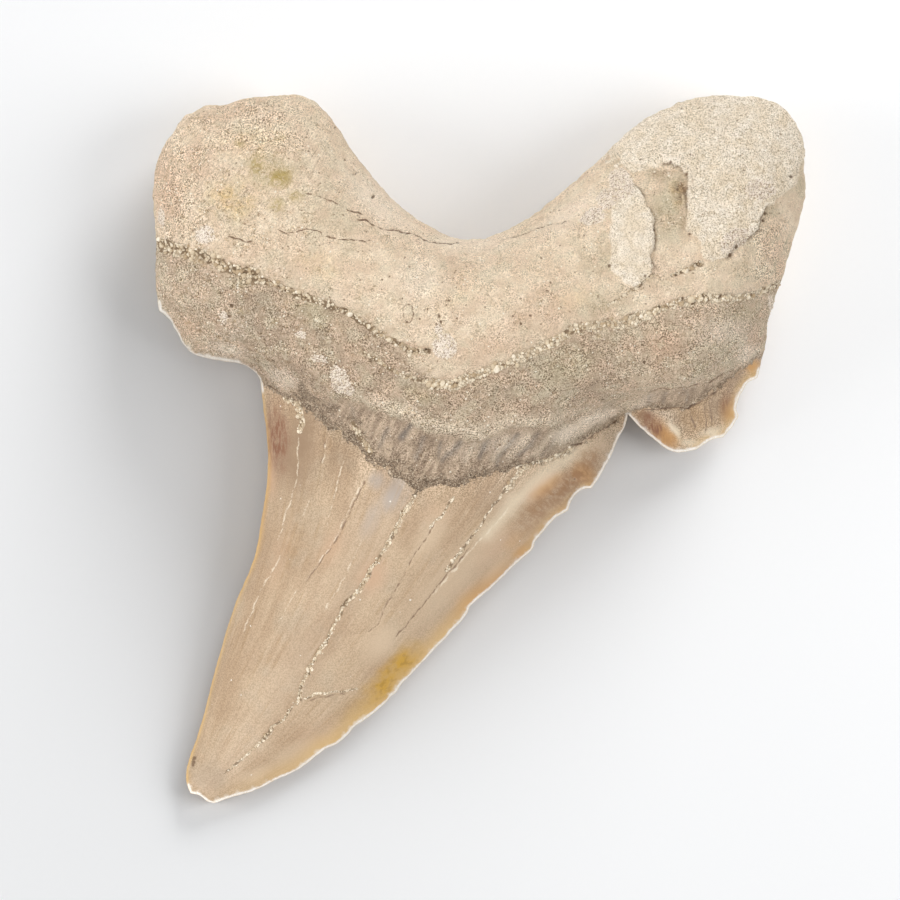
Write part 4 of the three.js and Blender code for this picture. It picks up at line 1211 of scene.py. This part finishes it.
masks.update(
    neck=neck,
    crust=crust,
    powder=powder,
    gaps=gaps,
    across=left / np.maximum(left + right, 1e-6),
    along=crown_along(plan),
    strip=on_top * np.interp(x, [-20, -16.8, -15.8, -12, -9, -6.5, -4, -1, 1.5, 5, 9, 14, 19],
                             [0.08, 0.12, 1.3, 1.1, 0.8, 0.95, 0.75, 0.5, 0.3, 0.15, 0.02, 0, -0.1]),
    band=on_top * root * np.clip(
        on_band * np.interp(x, [-27, -18, -12, 5, 14], [0.7, 1, 1.1, 1, 0.72])
        + 0.24 * smooth(3.2, 0.4, band_height) * smooth(-23, -17, x) * smooth(15, 9, x), 0, 1.1),
    collar=collar * np.interp(x, [-19, -15.5, 4, 8.5, 14, 15, 21, 24], [0, 1, 1, 0.15, 0.2, 0.9, 0.9, 0.3]),
    grit=np.clip(
        0.35 + 0.15 * lumpy + 0.55 * on_band - 0.35 * collar + 0.12 * smooth(-9, -4, x) * smooth(8, 3, x)
        + zones([(-20, 29, 7, 4, 0, 0.8), (-27, 23, 3, 8, 0, 0.9), (26, 17.5, 3, 5, 10, 1)])
        + smooth(-0.1, 0.3, crust) * (0.55 - zones([(13.6, 18.6, 3, 5.5, 0, 0.45)])), 0.1, 1.25),
    wormy=np.clip(smooth(-9, -15, x) * smooth(15, 20, y) + 0.35 * on_band, 0, 1),
    pitting=np.clip(0.3 + 0.3 * lumpy + 0.25 * on_band + 0.3 * smooth(-12, -20, x) - 0.35 * collar, 0.05, 1),
    combed=(0.1 + 0.45 * smooth(-8, 1, y + 0.25 * x)) * smooth(13, 9, x),
    enamel_grit=np.clip(
        0.3 + 1.05 * smooth(12, 14, x) + 0.3 * smooth(-8, 1, y) + 0.25 * smooth(-2, 0, neck), 0, 1.5),
    amber=np.clip(on_top * (mesial_stain + distal_stain) + masks["amber"], 0, 1),
    gold=on_top * np.max([
        distal_gold,
        0.8 * along_edges([MESIAL_EDGE], 0.38),
        0.7 * along_edges([CUSPLET_TIP, CUSPLET_OUTER], 1.1),
        0.5 * along_edges([LARGE_CHIP, SMALL_CHIP], 1)], axis=0),
    brown=near(brown_away, 1.1, 3) * np.interp(brown_along, [0, 1.5, 7, 11, 14], [0.6, 1, 0.7, 0.05, 0]),
    mustard=near(mustard_away, 1.05, 3)
    * np.interp(mustard_along, [0, 0.8, 4.6, 6.5, 10], [0.4, 1, 1, 0.4, 0]),
    # painted highlight along the rim's edges, fading inwards
    bright_rim=on_top * smooth(0, 0.3, along_edges(RIM_HIGHLIGHT_EDGES, 1.2))
    * smooth(rim_reach, 0.4 * rim_reach, inward) * mix(0.3, 1, smooth(0.01, 0.05, inward)),
)
tooth = made_mesh("tooth", position, faces, masks, tooth_material())
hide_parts("fossil_tooth")
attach(tooth, "root")

# ---- Sand lodged in the cracks ------------------------------------------------------------
LINE_STEP = 0.05
LARGEST_GRAIN = (np.array([18.9, 13.4]), 0.8, 0.55)
POWDER_GRAINS = 24
STRAY_TRIES = 900
LARGE_GRAIN = 0.3
finder = KDTree(len(upper))
for index, point in enumerate(plan[:len(upper)]):
    finder.insert((*point, 0), index)
finder.balance()


def ground(p):
    """The finished upper face at the plan point nearest to a place."""
    return position[finder.find((p[0], p[1], 0))[1]]


def pebble(subdivisions):
    """(points, triangles) of a round ball to start a grain from."""
    shape = bmesh.new()
    bmesh.ops.create_icosphere(shape, subdivisions=subdivisions, radius=1)
    points = np.array([v.co[:] for v in shape.verts])
    sides = np.array([[v.index for v in f.verts] for f in shape.faces])
    shape.free()
    return points, sides


def scattered_grains():
    """(place, diameter, tint) of each lodged grain."""
    rng = np.random.default_rng(21)
    grains = [LARGEST_GRAIN]
    for width, _, rate, _, points in SAND_LINES:
        line = resampled(np.array(points, float), LINE_STEP)
        along = np.gradient(line, axis=0)
        across = np.stack([-along[:, 1], along[:, 0]], 1) / np.linalg.norm(along, axis=1)[:, None]
        for _ in range(int(rate * LINE_STEP * len(line))):
            at = rng.integers(len(line))
            size = np.clip(rng.lognormal(math.log(0.36 * width + 0.08), 0.4), 0.1, 0.55)
            place = line[at] + across[at] * rng.normal(0, 0.45 * width)
            grains.append((place, size, rng.random()))
    for x, y, rx, ry, _, _ in POWDER:
        for _ in range(int(POWDER_GRAINS * rx * ry)):
            angle, out = rng.uniform(0, 2 * math.pi), 0.9 * math.sqrt(rng.random())
            place = np.array([x + rx * out * math.cos(angle), y + ry * out * math.sin(angle)])
            grains.append((place, rng.uniform(0.08, 0.24), rng.uniform(0.55, 1)))
    strays = rng.uniform((-28, 3), (27, 30), (STRAY_TRIES, 2))
    share = 0.2 + 0.4 * (above(BAND_TOP, strays) < 0)
    keep = (inside_depth(coarse_rim, strays) > 0.8) & (above(LINGUAL_NECK, strays) > 0.3)
    keep &= rng.random(len(strays)) < share
    for place in strays[keep]:
        grains.append((place, rng.uniform(0.07, 0.19), rng.uniform(0.3, 1)))
    return grains


def grain_mesh(grains, name):
    """Rough angular grains, a little sunk into the surface."""
    rng = np.random.default_rng(22)
    small_ball, large_ball = pebble(1), pebble(2)
    points, faces, tints, count = [], [], [], 0
    for place, size, tint in grains:
        ball, sides = large_ball if size > LARGE_GRAIN else small_ball
        spin = np.linalg.qr(rng.normal(size=(3, 3)))[0]
        stretch = rng.uniform(0.65, 1.1, 3)
        bumps = 1 + 0.16 * rng.uniform(-1, 1, len(ball))
        shape = (ball * bumps[:, None] * stretch) @ spin * size / 2
        centre = ground(place) + (0, 0, 0.08 * size)
        faces.append(sides + count)
        points.append(shape + centre)
        tints.append(np.full(len(ball), tint))
        count += len(ball)
    return made_mesh(name, np.vstack(points), np.vstack(faces), {"tint": np.concatenate(tints)},
                     grain_material(), faceted=True)


grains = grain_mesh(scattered_grains(), "lodged_sand")
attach(grains, "root")

# ---- Studio -------------------------------------------------------------------------------
scene = bpy.context.scene
scene.view_settings.view_transform = "Standard"
# The camera shows this width of the scene at the height of the view plane.
VIEW_WIDTH = 81.0
VIEW_CENTRE = (tooth_low + tooth_high)[:2] / 2 + (-2.64, -0.02)
VIEW_PLANE = 5.0
CAMERA_HEIGHT = 800.0
SENSOR_WIDTH = 36
FLOOR_REACH = 1500.0
LIGHT_DISTANCE = 600.0
WORLD_STRENGTH = 0.36

corners = np.array([(-1, -1, 0), (1, -1, 0), (1, 1, 0), (-1, 1, 0)]) * FLOOR_REACH + seat
floor = made_mesh("floor", corners, np.array([(0, 1, 2), (0, 2, 3)]), {}, paper_material())

camera_data = bpy.data.cameras.new("camera")
camera_data.sensor_width = SENSOR_WIDTH
camera_data.lens = SENSOR_WIDTH * (CAMERA_HEIGHT - VIEW_PLANE) / VIEW_WIDTH
camera_data.clip_end = 100
camera = bpy.data.objects.new("camera", camera_data)
camera.location = Vector((*VIEW_CENTRE, CAMERA_HEIGHT)) * MM
scene.collection.objects.link(camera)
scene.camera = camera


def studio_light(name, azimuth, elevation, size_mm, power, lit):
    """A round softbox that lights only the given objects, though everything casts a shadow in it."""
    a, e = math.radians(azimuth), math.radians(elevation)
    place = Vector((math.cos(a) * math.cos(e), math.sin(a) * math.cos(e), math.sin(e))) * LIGHT_DISTANCE
    data = bpy.data.lights.new(name, "AREA")
    data.shape = "DISK"
    data.size = size_mm * MM
    data.energy = power
    light = bpy.data.objects.new(name, data)
    light.location = place * MM
    light.rotation_euler = (-place).to_track_quat("-Z", "Y").to_euler()
    scene.collection.objects.link(light)
    receivers = bpy.data.collections.new(name + "_lights")
    for thing in lit:
        receivers.objects.link(thing)
    light.light_linking.receiver_collection = receivers


studio_light("key", 128, 42, 300, 1.8, [tooth, grains])
studio_light("fill", -128, 38, 450, 2.05, [tooth, grains])
studio_light("side", 45, 32, 400, 0.95, [tooth, grains])
studio_light("low", -30, 35, 400, 0.75, [tooth, grains])
studio_light("floor_right", 60, 15, 420, 4.8, [floor])
studio_light("floor_high", 0, 30, 420, 2.0, [floor])
studio_light("floor_left", 180, 15, 420, 1.9, [floor])
world = bpy.data.worlds.new("studio")
world.use_nodes = True
glow = world.node_tree.nodes["Background"]
glow.inputs["Color"].default_value = (1, 1, 1, 1)
glow.inputs["Strength"].default_value = WORLD_STRENGTH
scene.world = world
